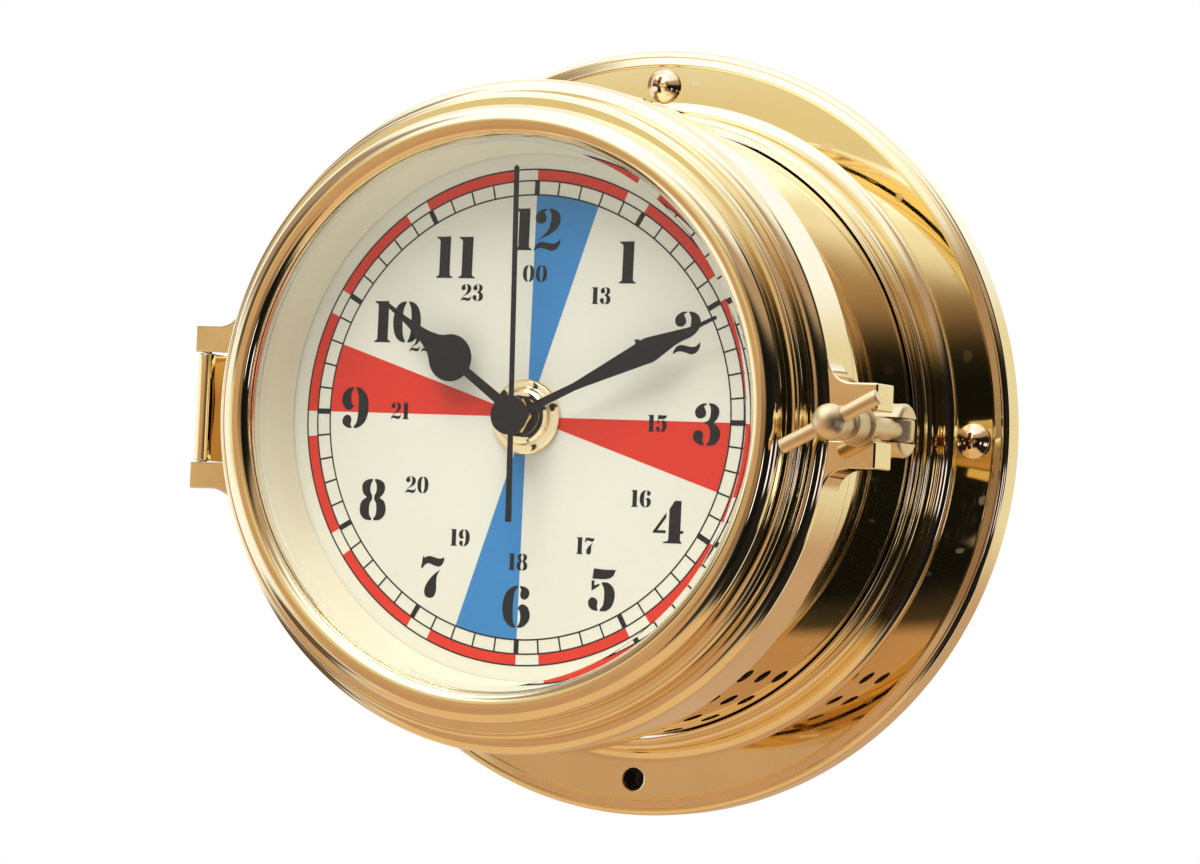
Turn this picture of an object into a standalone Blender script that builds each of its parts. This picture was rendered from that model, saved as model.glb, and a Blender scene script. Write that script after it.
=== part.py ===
# Brass radio-room quartz clock with a hinged, clamped bezel, built for a bulkhead.
# The back face of the mounting flange lies in the plane Y = 0 and the dial looks along -Y.
# +Z points to 12 o'clock and +X to 3 o'clock. Sizes are in millimetres, and MM turns them into metres.
# A depth is a distance in front of the back face, so the point at a depth d has Y = -d.

import math

import bmesh
import bpy

MM = 0.001
GAP = 0.3  # between pieces that touch
RUN = 0.05  # radial clearance of a running shaft
RING_SIDES = 48
SMALL_SIDES = 24
SCREW_SIDES = 16
SPINDLE_SIDES = 12

# Mounting flange and its stepped foot
FLANGE_WIDTH = 18.3  # beyond the drum
FLANGE_THICKNESS = 7.0
RIM_ROUND = 1.5
RIM_STRIP = 2.0
RIM_STEP = 0.3
FOOT_WALL = 2.6
FOOT_RISE = 13.6
COVE_RADIUS = 3.2
BEAD_RADIUS = 1.1
BEAD_STEP = 4.2
HOLE_INSET = 8.4  # hole's centre from the rim
HOLE_RADIUS = 2.5
HOLE_CHAMFER = 0.5

# Mounting screws
SCREW_HEAD_RADIUS = 4.1
SCREW_HEAD_HEIGHT = 2.7
SCREW_SHANK_RADIUS = 2.1
SCREW_LENGTH = 16.0
CROSS_WIDTH = 1.0
CROSS_SPAN = 4.6
CROSS_DEPTH = 1.4

# Case drum, its shoulder and the spigot that carries the dial
DRUM_RADIUS = 71.7
DRUM_WALL = 1.7
DRUM_LENGTH = 61.7
SHOULDER_WIDTH = 7.8
SPIGOT_WALL = 1.5
SPIGOT_LENGTH = 17.1
LEDGE_WIDTH = 3.9
LEDGE_THICKNESS = 1.7
VENT_RADIUS = 2.3
VENT_ROWS = 11
VENT_COLUMNS = 3
VENT_PITCH = 9.8
VENT_BACK_DEPTH = 28.4
SCREEN_THICKNESS = 0.5
SCREEN_MARGIN = 5.0

# Dial and reflector
DIAL_STAND = 8.6  # dial's back above the drum's shoulder
DIAL_THICKNESS = 0.8
REFLECTOR_FOOT = 3.1  # width that stands on the dial
REFLECTOR_TOP_INSET = 0.7  # inside the dial's edge
REFLECTOR_LIP = 1.2

# Bezel
BEZEL_OVERHANG = 3.6  # beyond the drum
BEZEL_SEAT_GAP = 0.5
SKIRT_LENGTH = 17.3
SKIRT_WALL = 3.3
SKIRT_CORNER = 3.0
SKIRT_EDGE = 0.9
STEP_SETBACK = 3.6
STEP_LENGTH = 5.1
STEP_BEAD = 0.7
GROOVE_SETBACK = 3.3
BAND_WIDTH = 7.0
BAND_RISE = 2.1
RING_WALL = 1.6

# Glass, its gasket and the ring that keeps it in
GLASS_INSET = 3.4  # inside the groove
GLASS_THICKNESS = 4.6
GLASS_BEVEL_WIDTH = 5.0
GLASS_BEVEL_ANGLE = 35.0
GLASS_LIP_GAP = 0.4
GASKET_THICKNESS = 0.8
GASKET_WIDTH = 4.2
RETAINER_OVERHANG = 2.4
RETAINER_THICKNESS = 1.4

# Hinge at 9 o'clock and clamp fork at 3 o'clock
LUG_THICKNESS = 9.6
LUG_SETBACK = 2.1  # lug's front face behind the front of the skirt
EAR_REACH = 7.8
EAR_HEIGHT = 6.1
EAR_FILLET = 5.0
BARREL_LENGTH = 24.6
BARREL_RADIUS = 2.0
PIN_INSET = 2.1  # hinge axis from the ear's end and from its front face
PIN_RADIUS = 1.2
BRACKET_WALL = 2.4
BRACKET_FOOT = 11.0
BRACKET_CLEAR = 0.9
FORK_REACH = 10.7
FORK_SLOT = 6.6
FORK_ARM = 6.0
FORK_FILLET = 6.0
FORK_CHAMFER = 0.9

# Swing bolt and clamp nut
BOLT_RADIUS = 2.4
BOLT_INSET = 4.0  # bolt's axis from the fork's end
CLEVIS_RADIUS = 6.0
CLEVIS_SLOT = 5.6
CLEVIS_OVERHANG = 2.7
CLEVIS_ROUND = 1.2
CLEVIS_BEHIND = 7.1  # pivot behind the bezel's back edge
EYE_RADIUS = 3.6
EYE_THICKNESS = 5.0
WASHER_RADIUS = 4.6
WASHER_THICKNESS = 1.2
WASHER_SEAT_GAP = 0.5
NUT_COLLAR_RADIUS = 3.9
NUT_COLLAR = 7.0
NUT_STEM_RADIUS = 3.0
NUT_STEM = 3.5
BALL_RADIUS = 3.9
BAR_RADIUS = 1.65
BAR_HALF_LENGTH = 12.2
BAR_ANGLE = 27.5

# Hands, drawn at about eleven minutes past ten
HAND_THICKNESS = 0.4
HUB_FILLET_ANGLE = 3.0
SECOND_ANGLE = -1.4
MINUTE_ANGLE = 64.5
HOUR_ANGLE = 305.6
HOUR_HAND_CLEAR = 0.36  # above the bush
MINUTE_HAND_CLEAR = 0.9  # above the hour hand
SECOND_HAND_CLEAR = 0.4  # above the hand nut
HOUR_TIP_GAP = 16.4  # from the reflector's foot
HOUR_DISC_RADIUS = 5.3
HOUR_DISC_PLACE = 21.6
HOUR_HUB_RADIUS = 4.6
HOUR_ARM = 2.0
MINUTE_TIP_GAP = 6.1
MINUTE_WIDEST = 35.1
MINUTE_BLADE = 5.7
MINUTE_NEEDLE = 5.8
MINUTE_NEEDLE_WIDTH = 0.9
MINUTE_ARM = 1.7
MINUTE_HUB_RADIUS = 3.2
SECOND_TIP_GAP = 3.3
SECOND_TAIL = 23.7
SECOND_WIDTH = 1.15
SECOND_HUB_RADIUS = 2.2
CAP_RADIUS = 4.4
CAP_HEIGHT = 1.1
HAND_NUT_RADIUS = 4.3
HAND_NUT_HEIGHT = 1.1

# Quartz movement
CASE_END_ROOM = 4.8  # for the battery's two contacts and its nub
CASE_CORNER = 3.0
CASE_WALL = 1.6
CASE_FRONT_HALF = 7.3
CASE_REAR_HALF = 8.8
RUBBER_THICKNESS = 0.76
RUBBER_RADIUS = 9.0
BUSH_RADIUS = 3.9
BUSH_RISE = 6.2  # above the movement's front face
BUSH_FLANGE_RADIUS = 6.5
BUSH_FLANGE_THICKNESS = 1.0
FIXING_NUT_RADIUS = 8.4
FIXING_NUT_STEP = 6.6
FIXING_NUT_HEIGHT = 2.6
SECOND_SHAFT_RADIUS = 0.6
MINUTE_PIPE_RADIUS = 1.6
HOUR_PIPE_RADIUS = 2.55
ARBOR_RADIUS = 0.6
TOOTH = 0.7
MESH_GAP = 0.12
WHEEL_THICKNESS = 0.7
PINION_THICKNESS = 1.0
MOTION_CENTRES = 9.0
THIRD_CENTRES = 8.5
STEP_CENTRES = 8.4
ROTOR_CENTRES = 7.2
MOTION_ANGLE = -70.0
THIRD_ANGLE = 0.0
STEP_ANGLE = 75.0
ROTOR_ANGLE = 50.0
MAGNET_RADIUS = 2.8
MAGNET_HEIGHT = 2.6
STATOR_THICKNESS = 0.8
POLE_WIDTH = 1.4
COIL_RADIUS = 3.4
COIL_LENGTH = 18.0
COIL_HEIGHT = 20.5
CORE_WIDTH = 2.4
KNOB_RADIUS = 4.5
KNOB_HEIGHT = 3.0
BATTERY_RADIUS = 7.1
BATTERY_LENGTH = 48.0
BATTERY_CLEAR = 2.6  # below the wheels
BATTERY_PROUD = 0.6  # behind the movement's back wall
CONTACT_THICKNESS = 0.5
BOARD_THICKNESS = 0.8
BOARD_MARGIN = 1.0
CRYSTAL_RADIUS = 1.0
CRYSTAL_LENGTH = 6.0

# Planes and radii that follow
FLANGE_RADIUS = DRUM_RADIUS + FLANGE_WIDTH
HOLE_CIRCLE = FLANGE_RADIUS - HOLE_INSET
SPIGOT_RADIUS = DRUM_RADIUS - SHOULDER_WIDTH
BEZEL_RADIUS = DRUM_RADIUS + BEZEL_OVERHANG
STEP_RADIUS = BEZEL_RADIUS - STEP_SETBACK
GROOVE_RADIUS = STEP_RADIUS - GROOVE_SETBACK
GLASS_RADIUS = GROOVE_RADIUS - GLASS_INSET
GLASS_BEVEL_START = GLASS_RADIUS - GLASS_BEVEL_WIDTH
CASE_SIZE = BATTERY_LENGTH + 2 * CASE_WALL + CASE_END_ROOM
FOOT_DEPTH = FLANGE_THICKNESS + FOOT_RISE
FLANGE_BORE = DRUM_RADIUS + GAP
DRUM_BORE = DRUM_RADIUS - DRUM_WALL
SPIGOT_DEPTH = DRUM_LENGTH + SPIGOT_LENGTH
SPIGOT_BORE = SPIGOT_RADIUS - SPIGOT_WALL
DIAL_BACK = DRUM_LENGTH + DIAL_STAND
DIAL_FRONT = DIAL_BACK + DIAL_THICKNESS
DIAL_RADIUS = SPIGOT_BORE - GAP
LEDGE_FRONT = DIAL_BACK - GAP
REFLECTOR_FOOT_RADIUS = DIAL_RADIUS - REFLECTOR_FOOT
REFLECTOR_TOP_RADIUS = DIAL_RADIUS - REFLECTOR_TOP_INSET
HOUR_TIP = REFLECTOR_FOOT_RADIUS - HOUR_TIP_GAP
MINUTE_TIP = REFLECTOR_FOOT_RADIUS - MINUTE_TIP_GAP
SECOND_TIP = REFLECTOR_FOOT_RADIUS - SECOND_TIP_GAP
BEZEL_BACK = DRUM_LENGTH + BEZEL_SEAT_GAP
SKIRT_FRONT = BEZEL_BACK + SKIRT_LENGTH
SKIRT_BORE = BEZEL_RADIUS - SKIRT_WALL
STEP_FRONT = SKIRT_FRONT + STEP_LENGTH
APERTURE_RADIUS = GROOVE_RADIUS - BAND_WIDTH - 0.1
BAND_CENTRE = STEP_FRONT + STEP_BEAD + BAND_RISE
BEVEL_SLOPE = math.tan(math.radians(GLASS_BEVEL_ANGLE))
GLASS_FRONT = BAND_CENTRE - GLASS_LIP_GAP / math.cos(math.radians(GLASS_BEVEL_ANGLE)) + (
    APERTURE_RADIUS - GLASS_BEVEL_START
) * BEVEL_SLOPE
GLASS_BACK = GLASS_FRONT - GLASS_THICKNESS
GLASS_EDGE = GLASS_FRONT - (GLASS_RADIUS - GLASS_BEVEL_START) * BEVEL_SLOPE
GLASS_BORE = GLASS_RADIUS + GAP
RETAINER_RADIUS = GLASS_RADIUS + RETAINER_OVERHANG
RETAINER_BORE = RETAINER_RADIUS + GAP
GASKET_INSIDE = RETAINER_RADIUS - GASKET_WIDTH
GASKET_BACK = GLASS_BACK - GAP - GASKET_THICKNESS
RETAINER_BACK = GASKET_BACK - GAP - RETAINER_THICKNESS
REFLECTOR_FRONT = GLASS_BACK - GAP
LUG_FRONT = SKIRT_FRONT - LUG_SETBACK
LUG_BACK = LUG_FRONT - LUG_THICKNESS
HINGE_X = -(BEZEL_RADIUS + EAR_REACH - PIN_INSET)
HINGE_DEPTH = LUG_FRONT - PIN_INSET
FORK_END = BEZEL_RADIUS + FORK_REACH
BOLT_X = FORK_END - BOLT_INSET
PIVOT_DEPTH = BEZEL_BACK - CLEVIS_BEHIND
WASHER_BACK = LUG_FRONT + WASHER_SEAT_GAP
COLLAR_BACK = WASHER_BACK + WASHER_THICKNESS + GAP
STEM_BACK = COLLAR_BACK + NUT_COLLAR
BALL_DEPTH = STEM_BACK + NUT_STEM + BALL_RADIUS
MOVEMENT_FRONT = DIAL_BACK - RUBBER_THICKNESS - 2 * GAP
CASE_SEAM = MOVEMENT_FRONT - CASE_FRONT_HALF
MOVEMENT_BACK = CASE_SEAM - GAP - CASE_REAR_HALF
TRAIN_FRONT = MOVEMENT_FRONT - CASE_WALL - GAP
TRAIN_BACK = MOVEMENT_BACK + CASE_WALL + GAP
BUSH_FRONT = MOVEMENT_FRONT + BUSH_RISE
HOUR_HAND_DEPTH = BUSH_FRONT + HOUR_HAND_CLEAR
MINUTE_HAND_DEPTH = HOUR_HAND_DEPTH + HAND_THICKNESS + MINUTE_HAND_CLEAR
HAND_NUT_BACK = MINUTE_HAND_DEPTH + HAND_THICKNESS + GAP
SECOND_HAND_DEPTH = HAND_NUT_BACK + HAND_NUT_HEIGHT + SECOND_HAND_CLEAR
HOUR_WHEEL_BACK = TRAIN_FRONT - BUSH_FLANGE_THICKNESS - GAP - WHEEL_THICKNESS
MOTION_WHEEL_BACK = HOUR_WHEEL_BACK - GAP - PINION_THICKNESS
MINUTE_WHEEL_BACK = MOTION_WHEEL_BACK - 1.4
THIRD_WHEEL_BACK = MINUTE_WHEEL_BACK - 1.9
SECOND_WHEEL_BACK = THIRD_WHEEL_BACK - 1.7
STEP_WHEEL_BACK = SECOND_WHEEL_BACK - 1.6


def place_at(angle, radius):
    """Return the (x, z) place at a clock angle in degrees from 12 and a radius."""
    turn = math.radians(angle)
    return radius * math.sin(turn), radius * math.cos(turn)


MOTION_PLACE = place_at(MOTION_ANGLE, MOTION_CENTRES)
THIRD_PLACE = place_at(THIRD_ANGLE, THIRD_CENTRES)
STEP_PLACE = place_at(STEP_ANGLE, STEP_CENTRES)
ROTOR_PLACE = (
    STEP_PLACE[0] + place_at(ROTOR_ANGLE, ROTOR_CENTRES)[0],
    STEP_PLACE[1] + place_at(ROTOR_ANGLE, ROTOR_CENTRES)[1],
)


def clear_scene():
    for thing in list(bpy.data.objects):
        bpy.data.objects.remove(thing, do_unlink=True)


def material(name, colour, roughness, metallic):
    made = bpy.data.materials.new(name)
    made.use_nodes = True
    shader = made.node_tree.nodes["Principled BSDF"]
    shader.inputs["Base Color"].default_value = (*colour, 1.0)
    shader.inputs["Roughness"].default_value = roughness
    shader.inputs["Metallic"].default_value = metallic
    return made


def finish(mesh, name, look):
    """Turn a bmesh into an object with one material, shaded smooth over its round parts."""
    bmesh.ops.remove_doubles(mesh, verts=mesh.verts, dist=0.000001)
    bmesh.ops.recalc_face_normals(mesh, faces=mesh.faces)
    data = bpy.data.meshes.new(name)
    mesh.to_mesh(data)
    mesh.free()
    data.shade_smooth()
    data.set_sharp_from_angle(angle=math.radians(30))
    data.materials.append(look)
    made = bpy.data.objects.new(name, data)
    bpy.context.collection.objects.link(made)
    return made


def arc(centre, radius, start, end, steps):
    """Return points on an arc, with angles in degrees from the first axis."""
    points = []
    for step in range(steps + 1):
        turn = math.radians(start + (end - start) * step / steps)
        points.append((centre[0] + radius * math.cos(turn), centre[1] + radius * math.sin(turn)))
    return points


def turned(name, profile, sides, look, place=(0.0, 0.0)):
    """Spin a (radius, depth) outline about the line along Y through an (x, z) place."""
    mesh = bmesh.new()
    points = [mesh.verts.new((radius * MM, -depth * MM, 0)) for radius, depth in profile]
    edges = [mesh.edges.new(pair) for pair in zip(points, points[1:])]
    if min(radius for radius, depth in profile) > 0:
        edges.append(mesh.edges.new((points[-1], points[0])))
    bmesh.ops.spin(
        mesh,
        geom=points + edges,
        cent=(0, 0, 0),
        axis=(0, 1, 0),
        angle=2 * math.pi,
        steps=sides,
        use_merge=True,
    )
    made = finish(mesh, name, look)
    made.location = (place[0] * MM, 0, place[1] * MM)
    return made


def slab(name, outline, low, high, look, upright=False):
    """Extrude an (x, z) outline between two depths or, upright, an (x, depth) one between two heights."""
    mesh = bmesh.new()
    if upright:
        start = [mesh.verts.new((x * MM, -depth * MM, low * MM)) for x, depth in outline]
        step = (0, 0, (high - low) * MM)
    else:
        start = [mesh.verts.new((x * MM, -low * MM, z * MM)) for x, z in outline]
        step = (0, -(high - low) * MM, 0)
    face = mesh.faces.new(start)
    grown = bmesh.ops.extrude_face_region(mesh, geom=[face])
    moved = [item for item in grown["geom"] if isinstance(item, bmesh.types.BMVert)]
    bmesh.ops.translate(mesh, verts=moved, vec=step)
    return finish(mesh, name, look)


def rod(name, radius, start, end, look, sides=SMALL_SIDES):
    """Make a round rod between two (x, depth, z) points."""
    first = (start[0] * MM, -start[1] * MM, start[2] * MM)
    last = (end[0] * MM, -end[1] * MM, end[2] * MM)
    run = [last[index] - first[index] for index in range(3)]
    length = math.sqrt(sum(part * part for part in run))
    mesh = bmesh.new()
    bmesh.ops.create_cone(
        mesh,
        cap_ends=True,
        segments=sides,
        radius1=radius * MM,
        radius2=radius * MM,
        depth=length,
    )
    made = finish(mesh, name, look)
    made.location = [(first[index] + last[index]) / 2 for index in range(3)]
    made.rotation_euler = (0, math.acos(run[2] / length), math.atan2(run[1], run[0]))
    return made


def combine(target, tool, operation):
    """Apply a Boolean tool and keep it in the file as a hidden wire guide."""
    modifier = target.modifiers.new(operation.lower(), "BOOLEAN")
    modifier.operation = operation
    modifier.object = tool
    tool.hide_render = True
    tool.display_type = "WIRE"


def cut(target, tool):
    combine(target, tool, "DIFFERENCE")


def join(target, tool):
    combine(target, tool, "UNION")


def pivot(name, place):
    """Add an empty on a joint's axis at an (x, depth, z) place."""
    made = bpy.data.objects.new(name, None)
    made.empty_display_size = 0.01
    made.location = (place[0] * MM, -place[1] * MM, place[2] * MM)
    bpy.context.collection.objects.link(made)
    return made


def hang(things, carrier):
    """Parent pieces that were placed in world coordinates to an empty."""
    for thing in things:
        thing.parent = carrier
        thing.location = thing.location - carrier.location


def circle(radius, sides, place=(0.0, 0.0)):
    return arc(place, radius, 0, 360, sides)[:-1]


def toothed(radius, teeth, place=(0.0, 0.0), turn=0.0):
    """Return a wheel's outline. Its tips stop short of the pitch radius by the mesh gap."""
    tip = radius - MESH_GAP
    root = tip - TOOTH
    points = []
    for tooth in range(teeth):
        for share, reach in ((0.0, root), (0.3, tip), (0.7, tip)):
            x, z = place_at(turn + 360 * (tooth + share) / teeth, reach)
            points.append((place[0] + x, place[1] + z))
    return points


def build_flange(brass):
    """Cast flange with a rounded rim, a raised strip inside it and a coved, stepped foot."""
    front = FLANGE_THICKNESS
    strip_out = FLANGE_RADIUS - RIM_ROUND
    strip_in = strip_out - RIM_STRIP
    foot = FLANGE_BORE + FOOT_WALL
    step = foot - BEAD_RADIUS
    bead_top = FOOT_DEPTH - BEAD_STEP
    profile = [(FLANGE_BORE, 0), (FLANGE_RADIUS - 0.4, 0), (FLANGE_RADIUS, 0.4)]
    profile += arc((strip_out, front + RIM_STEP - RIM_ROUND), RIM_ROUND, 0, 90, 2)
    profile += [(strip_out - 0.2, front), (strip_in, front + RIM_STEP), (strip_in - RIM_STEP, front)]
    profile += arc((foot + COVE_RADIUS, front + COVE_RADIUS), COVE_RADIUS, 270, 180, 3)
    profile += arc((step, bead_top - BEAD_RADIUS), BEAD_RADIUS, 0, 90, 2)
    profile += [(step - 0.3, bead_top), (step - 0.3, FOOT_DEPTH - 0.7), (step - 0.8, FOOT_DEPTH)]
    profile += [(FLANGE_BORE, FOOT_DEPTH)]
    flange = turned("mounting_flange", profile, RING_SIDES, brass)
    for index in range(4):
        x, z = place_at(index * 90, HOLE_CIRCLE)
        deep = [(0, -1), (HOLE_RADIUS, -1), (HOLE_RADIUS, front - HOLE_CHAMFER)]
        wide = [(HOLE_RADIUS + HOLE_CHAMFER + 1, front + 1), (0, front + 1)]
        cut(flange, turned(f"screw_hole_{index}", deep + wide, SMALL_SIDES, brass, (x, z)))


def build_mounting_screw(name, angle, brass):
    """Domed cross-head wood screw through one of the flange's holes."""
    place = place_at(angle, HOLE_CIRCLE)
    seat = FLANGE_THICKNESS + GAP
    rise = SCREW_HEAD_HEIGHT - 0.6
    dome = [
        (
            SCREW_HEAD_RADIUS * math.cos(math.radians(step)),
            seat + 0.6 + rise * math.sin(math.radians(step)),
        )
        for step in (0, 25, 50, 70)
    ]
    tip = seat - SCREW_LENGTH
    profile = [(0, seat + SCREW_HEAD_HEIGHT)] + dome[::-1] + [(SCREW_HEAD_RADIUS, seat)]
    profile += [(SCREW_SHANK_RADIUS, seat), (SCREW_SHANK_RADIUS, tip + 4), (0.3, tip), (0, tip)]
    screw = turned(name, profile, SCREW_SIDES, brass, place)
    half = CROSS_WIDTH / 2
    span = CROSS_SPAN / 2
    floor = seat + SCREW_HEAD_HEIGHT - CROSS_DEPTH
    cross = [
        (half, half),
        (span, half),
        (span, -half),
        (half, -half),
        (half, -span),
        (-half, -span),
        (-half, -half),
        (-span, -half),
        (-span, half),
        (-half, half),
        (-half, span),
        (half, span),
    ]
    moved = [(x + place[0], z + place[1]) for x, z in cross]
    cut(screw, slab(f"{name}_cross", moved, floor, floor + CROSS_DEPTH + 2, brass))


def build_drum(brass, black):
    """Turned drum: a plain wall with vent holes below, a shoulder, and a spigot with the dial's ledge."""
    ledge = SPIGOT_BORE - LEDGE_WIDTH
    ledge_back = LEDGE_FRONT - LEDGE_THICKNESS
    shoulder_back = DRUM_LENGTH - DRUM_WALL
    profile = [
        (DRUM_RADIUS, GAP * 2),
        (DRUM_RADIUS, DRUM_LENGTH - 0.4),
        (DRUM_RADIUS - 0.4, DRUM_LENGTH),
        (SPIGOT_RADIUS, DRUM_LENGTH),
        (SPIGOT_RADIUS, SPIGOT_DEPTH - 0.4),
        (SPIGOT_RADIUS - 0.4, SPIGOT_DEPTH),
        (SPIGOT_BORE, SPIGOT_DEPTH),
        (SPIGOT_BORE, LEDGE_FRONT),
        (ledge, LEDGE_FRONT),
        (ledge, ledge_back),
        (SPIGOT_BORE - 0.2, ledge_back),
        (SPIGOT_BORE - 0.2, shoulder_back),
        (DRUM_BORE, shoulder_back),
        (DRUM_BORE, GAP * 2),
    ]
    drum = turned("case_drum", profile, RING_SIDES, brass)
    step = math.degrees(VENT_PITCH / DRUM_RADIUS)
    drills = bmesh.new()
    for row in range(VENT_ROWS):
        x, z = place_at(180 + (row - (VENT_ROWS - 1) / 2) * step, 1.0)
        for column in range(VENT_COLUMNS):
            depth = VENT_BACK_DEPTH + column * VENT_PITCH
            ends = []
            for reach in (DRUM_BORE - 1, DRUM_RADIUS + 1):
                ring = [
                    drills.verts.new(
                        (
                            (x * reach + z * side) * MM,
                            -(depth + along) * MM,
                            (z * reach - x * side) * MM,
                        )
                    )
                    for side, along in circle(VENT_RADIUS, 8)
                ]
                ends.append(ring)
            drills.faces.new(ends[0])
            drills.faces.new(ends[1][::-1])
            for corner in range(8):
                after = (corner + 1) % 8
                drills.faces.new((ends[0][after], ends[0][corner], ends[1][corner], ends[1][after]))
    cut(drum, finish(drills, "vent_drills", brass))
    screen_out = DRUM_BORE - GAP
    screen_in = screen_out - SCREEN_THICKNESS
    back = VENT_BACK_DEPTH - SCREEN_MARGIN
    front = VENT_BACK_DEPTH + (VENT_COLUMNS - 1) * VENT_PITCH + SCREEN_MARGIN
    outline = [(screen_in, back), (screen_out, back), (screen_out, front), (screen_in, front)]
    turned("vent_screen", outline, RING_SIDES, black)


def build_dial(cream, satin):
    """Flat dial on the ledge and the white flared reflector that stands on it."""
    hole = BUSH_RADIUS + GAP
    outline = [
        (hole, DIAL_BACK),
        (DIAL_RADIUS, DIAL_BACK),
        (DIAL_RADIUS, DIAL_FRONT),
        (hole, DIAL_FRONT),
    ]
    turned("dial_plate", outline, RING_SIDES, cream)
    foot = DIAL_FRONT + GAP
    lip = REFLECTOR_TOP_RADIUS + REFLECTOR_LIP
    profile = [
        (REFLECTOR_FOOT_RADIUS, foot),
        (DIAL_RADIUS, foot),
        (DIAL_RADIUS, SPIGOT_DEPTH + GAP),
        (lip, SPIGOT_DEPTH + GAP),
        (lip, REFLECTOR_FRONT),
        (REFLECTOR_TOP_RADIUS, REFLECTOR_FRONT),
    ]
    turned("reflector_ring", profile, RING_SIDES, satin)


def lug_outline(reach, low, high, fillet):
    """Outline of a lug that leaves the ring sideways, with a fillet along its outer edge."""
    root = math.sqrt((BEZEL_RADIUS - 1.5) ** 2 - high**2)
    corner = math.sqrt(BEZEL_RADIUS**2 - (high + fillet) ** 2)
    end = BEZEL_RADIUS + reach
    points = [(root - 1.5, low), (end, low), (end, high)]
    points += arc((corner + fillet * 1.15, high + fillet), fillet, 270, 190, 4)
    points += [(corner - 1.0, high + fillet), (root - 1.5, high)]
    return points


def mirrored(outline, across, along):
    """Mirror an outline by signs of x and z and keep its winding."""
    points = [(x * across, z * along) for x, z in outline]
    if across * along < 0:
        points.reverse()
    return points


def build_bezel(brass, clear, rubber):
    """Hinged ring with its round band, steps, skirt and lugs, and the glass that it holds."""
    band = BAND_WIDTH / 2
    profile = [(APERTURE_RADIUS, BAND_CENTRE)]
    profile += arc((APERTURE_RADIUS + band, BAND_CENTRE), band, 160, 0, 5)
    profile += [(GROOVE_RADIUS, STEP_FRONT + STEP_BEAD + 0.3), (GROOVE_RADIUS + 0.4, STEP_FRONT + STEP_BEAD)]
    profile += [(STEP_RADIUS - STEP_BEAD, STEP_FRONT + STEP_BEAD), (STEP_RADIUS, STEP_FRONT)]
    profile += [(STEP_RADIUS, SKIRT_FRONT)]
    corner = BEZEL_RADIUS - SKIRT_CORNER
    profile += arc((corner, SKIRT_FRONT - SKIRT_CORNER), SKIRT_CORNER, 90, 0, 3)
    profile += [(BEZEL_RADIUS, BEZEL_BACK + SKIRT_EDGE), (BEZEL_RADIUS - SKIRT_EDGE, BEZEL_BACK)]
    throat = STEP_RADIUS - RING_WALL
    neck = SKIRT_FRONT - SKIRT_CORNER + 0.1
    profile += [
        (SKIRT_BORE, BEZEL_BACK),
        (SKIRT_BORE, neck),
        (throat, neck + 1.8),
        (throat, RETAINER_BACK - GAP),
        (RETAINER_BORE, RETAINER_BACK - GAP),
        (RETAINER_BORE, GLASS_BACK),
        (GLASS_BORE, GLASS_BACK),
        (GLASS_BORE, BAND_CENTRE - (GLASS_BORE - APERTURE_RADIUS) * BEVEL_SLOPE),
    ]
    bezel = turned("bezel_ring", profile, RING_SIDES, brass)
    ear_low = BARREL_LENGTH / 2 + GAP
    ear = lug_outline(EAR_REACH, ear_low, ear_low + EAR_HEIGHT, EAR_FILLET)
    arm_low = FORK_SLOT / 2
    arm = lug_outline(FORK_REACH, arm_low, arm_low + FORK_ARM, FORK_FILLET)
    lugs = [
        slab("ear_upper", mirrored(ear, -1, 1), LUG_BACK, LUG_FRONT, brass),
        slab("ear_lower", mirrored(ear, -1, -1), LUG_BACK, LUG_FRONT, brass),
        slab("fork_upper", mirrored(arm, 1, 1), LUG_BACK, LUG_FRONT, brass),
        slab("fork_lower", mirrored(arm, 1, -1), LUG_BACK, LUG_FRONT, brass),
    ]
    for lug in lugs:
        join(bezel, lug)
    edge = [
        (FORK_END - FORK_CHAMFER, LUG_FRONT),
        (FORK_END + 1, LUG_FRONT - FORK_CHAMFER - 1),
        (FORK_END + 1, LUG_FRONT),
    ]
    half = FORK_SLOT / 2 + FORK_ARM + 1
    cut(bezel, slab("fork_end_bevel", edge, -half, half, brass, upright=True))
    hole = rod(
        "ear_drill",
        PIN_RADIUS + RUN,
        (HINGE_X, HINGE_DEPTH, -ear_low - EAR_HEIGHT - 1),
        (HINGE_X, HINGE_DEPTH, ear_low + EAR_HEIGHT + 1),
        brass,
    )
    cut(bezel, hole)
    glass = turned(
        "glass",
        [
            (0, GLASS_BACK),
            (GLASS_RADIUS, GLASS_BACK),
            (GLASS_RADIUS, GLASS_EDGE),
            (GLASS_BEVEL_START, GLASS_FRONT),
            (0, GLASS_FRONT),
        ],
        RING_SIDES,
        clear,
    )
    gasket_front = GASKET_BACK + GASKET_THICKNESS
    gasket = turned(
        "glass_gasket",
        [
            (GASKET_INSIDE, GASKET_BACK),
            (RETAINER_RADIUS, GASKET_BACK),
            (RETAINER_RADIUS, gasket_front),
            (GASKET_INSIDE, gasket_front),
        ],
        RING_SIDES,
        rubber,
    )
    retainer_front = RETAINER_BACK + RETAINER_THICKNESS
    retainer = turned(
        "glass_retaining_ring",
        [
            (GASKET_INSIDE, RETAINER_BACK),
            (RETAINER_RADIUS, RETAINER_BACK),
            (RETAINER_RADIUS, retainer_front),
            (GASKET_INSIDE, retainer_front),
        ],
        RING_SIDES,
        brass,
    )
    hang([bezel, glass, gasket, retainer], pivot("bezel_hinge", (HINGE_X, HINGE_DEPTH, 0)))


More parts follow.
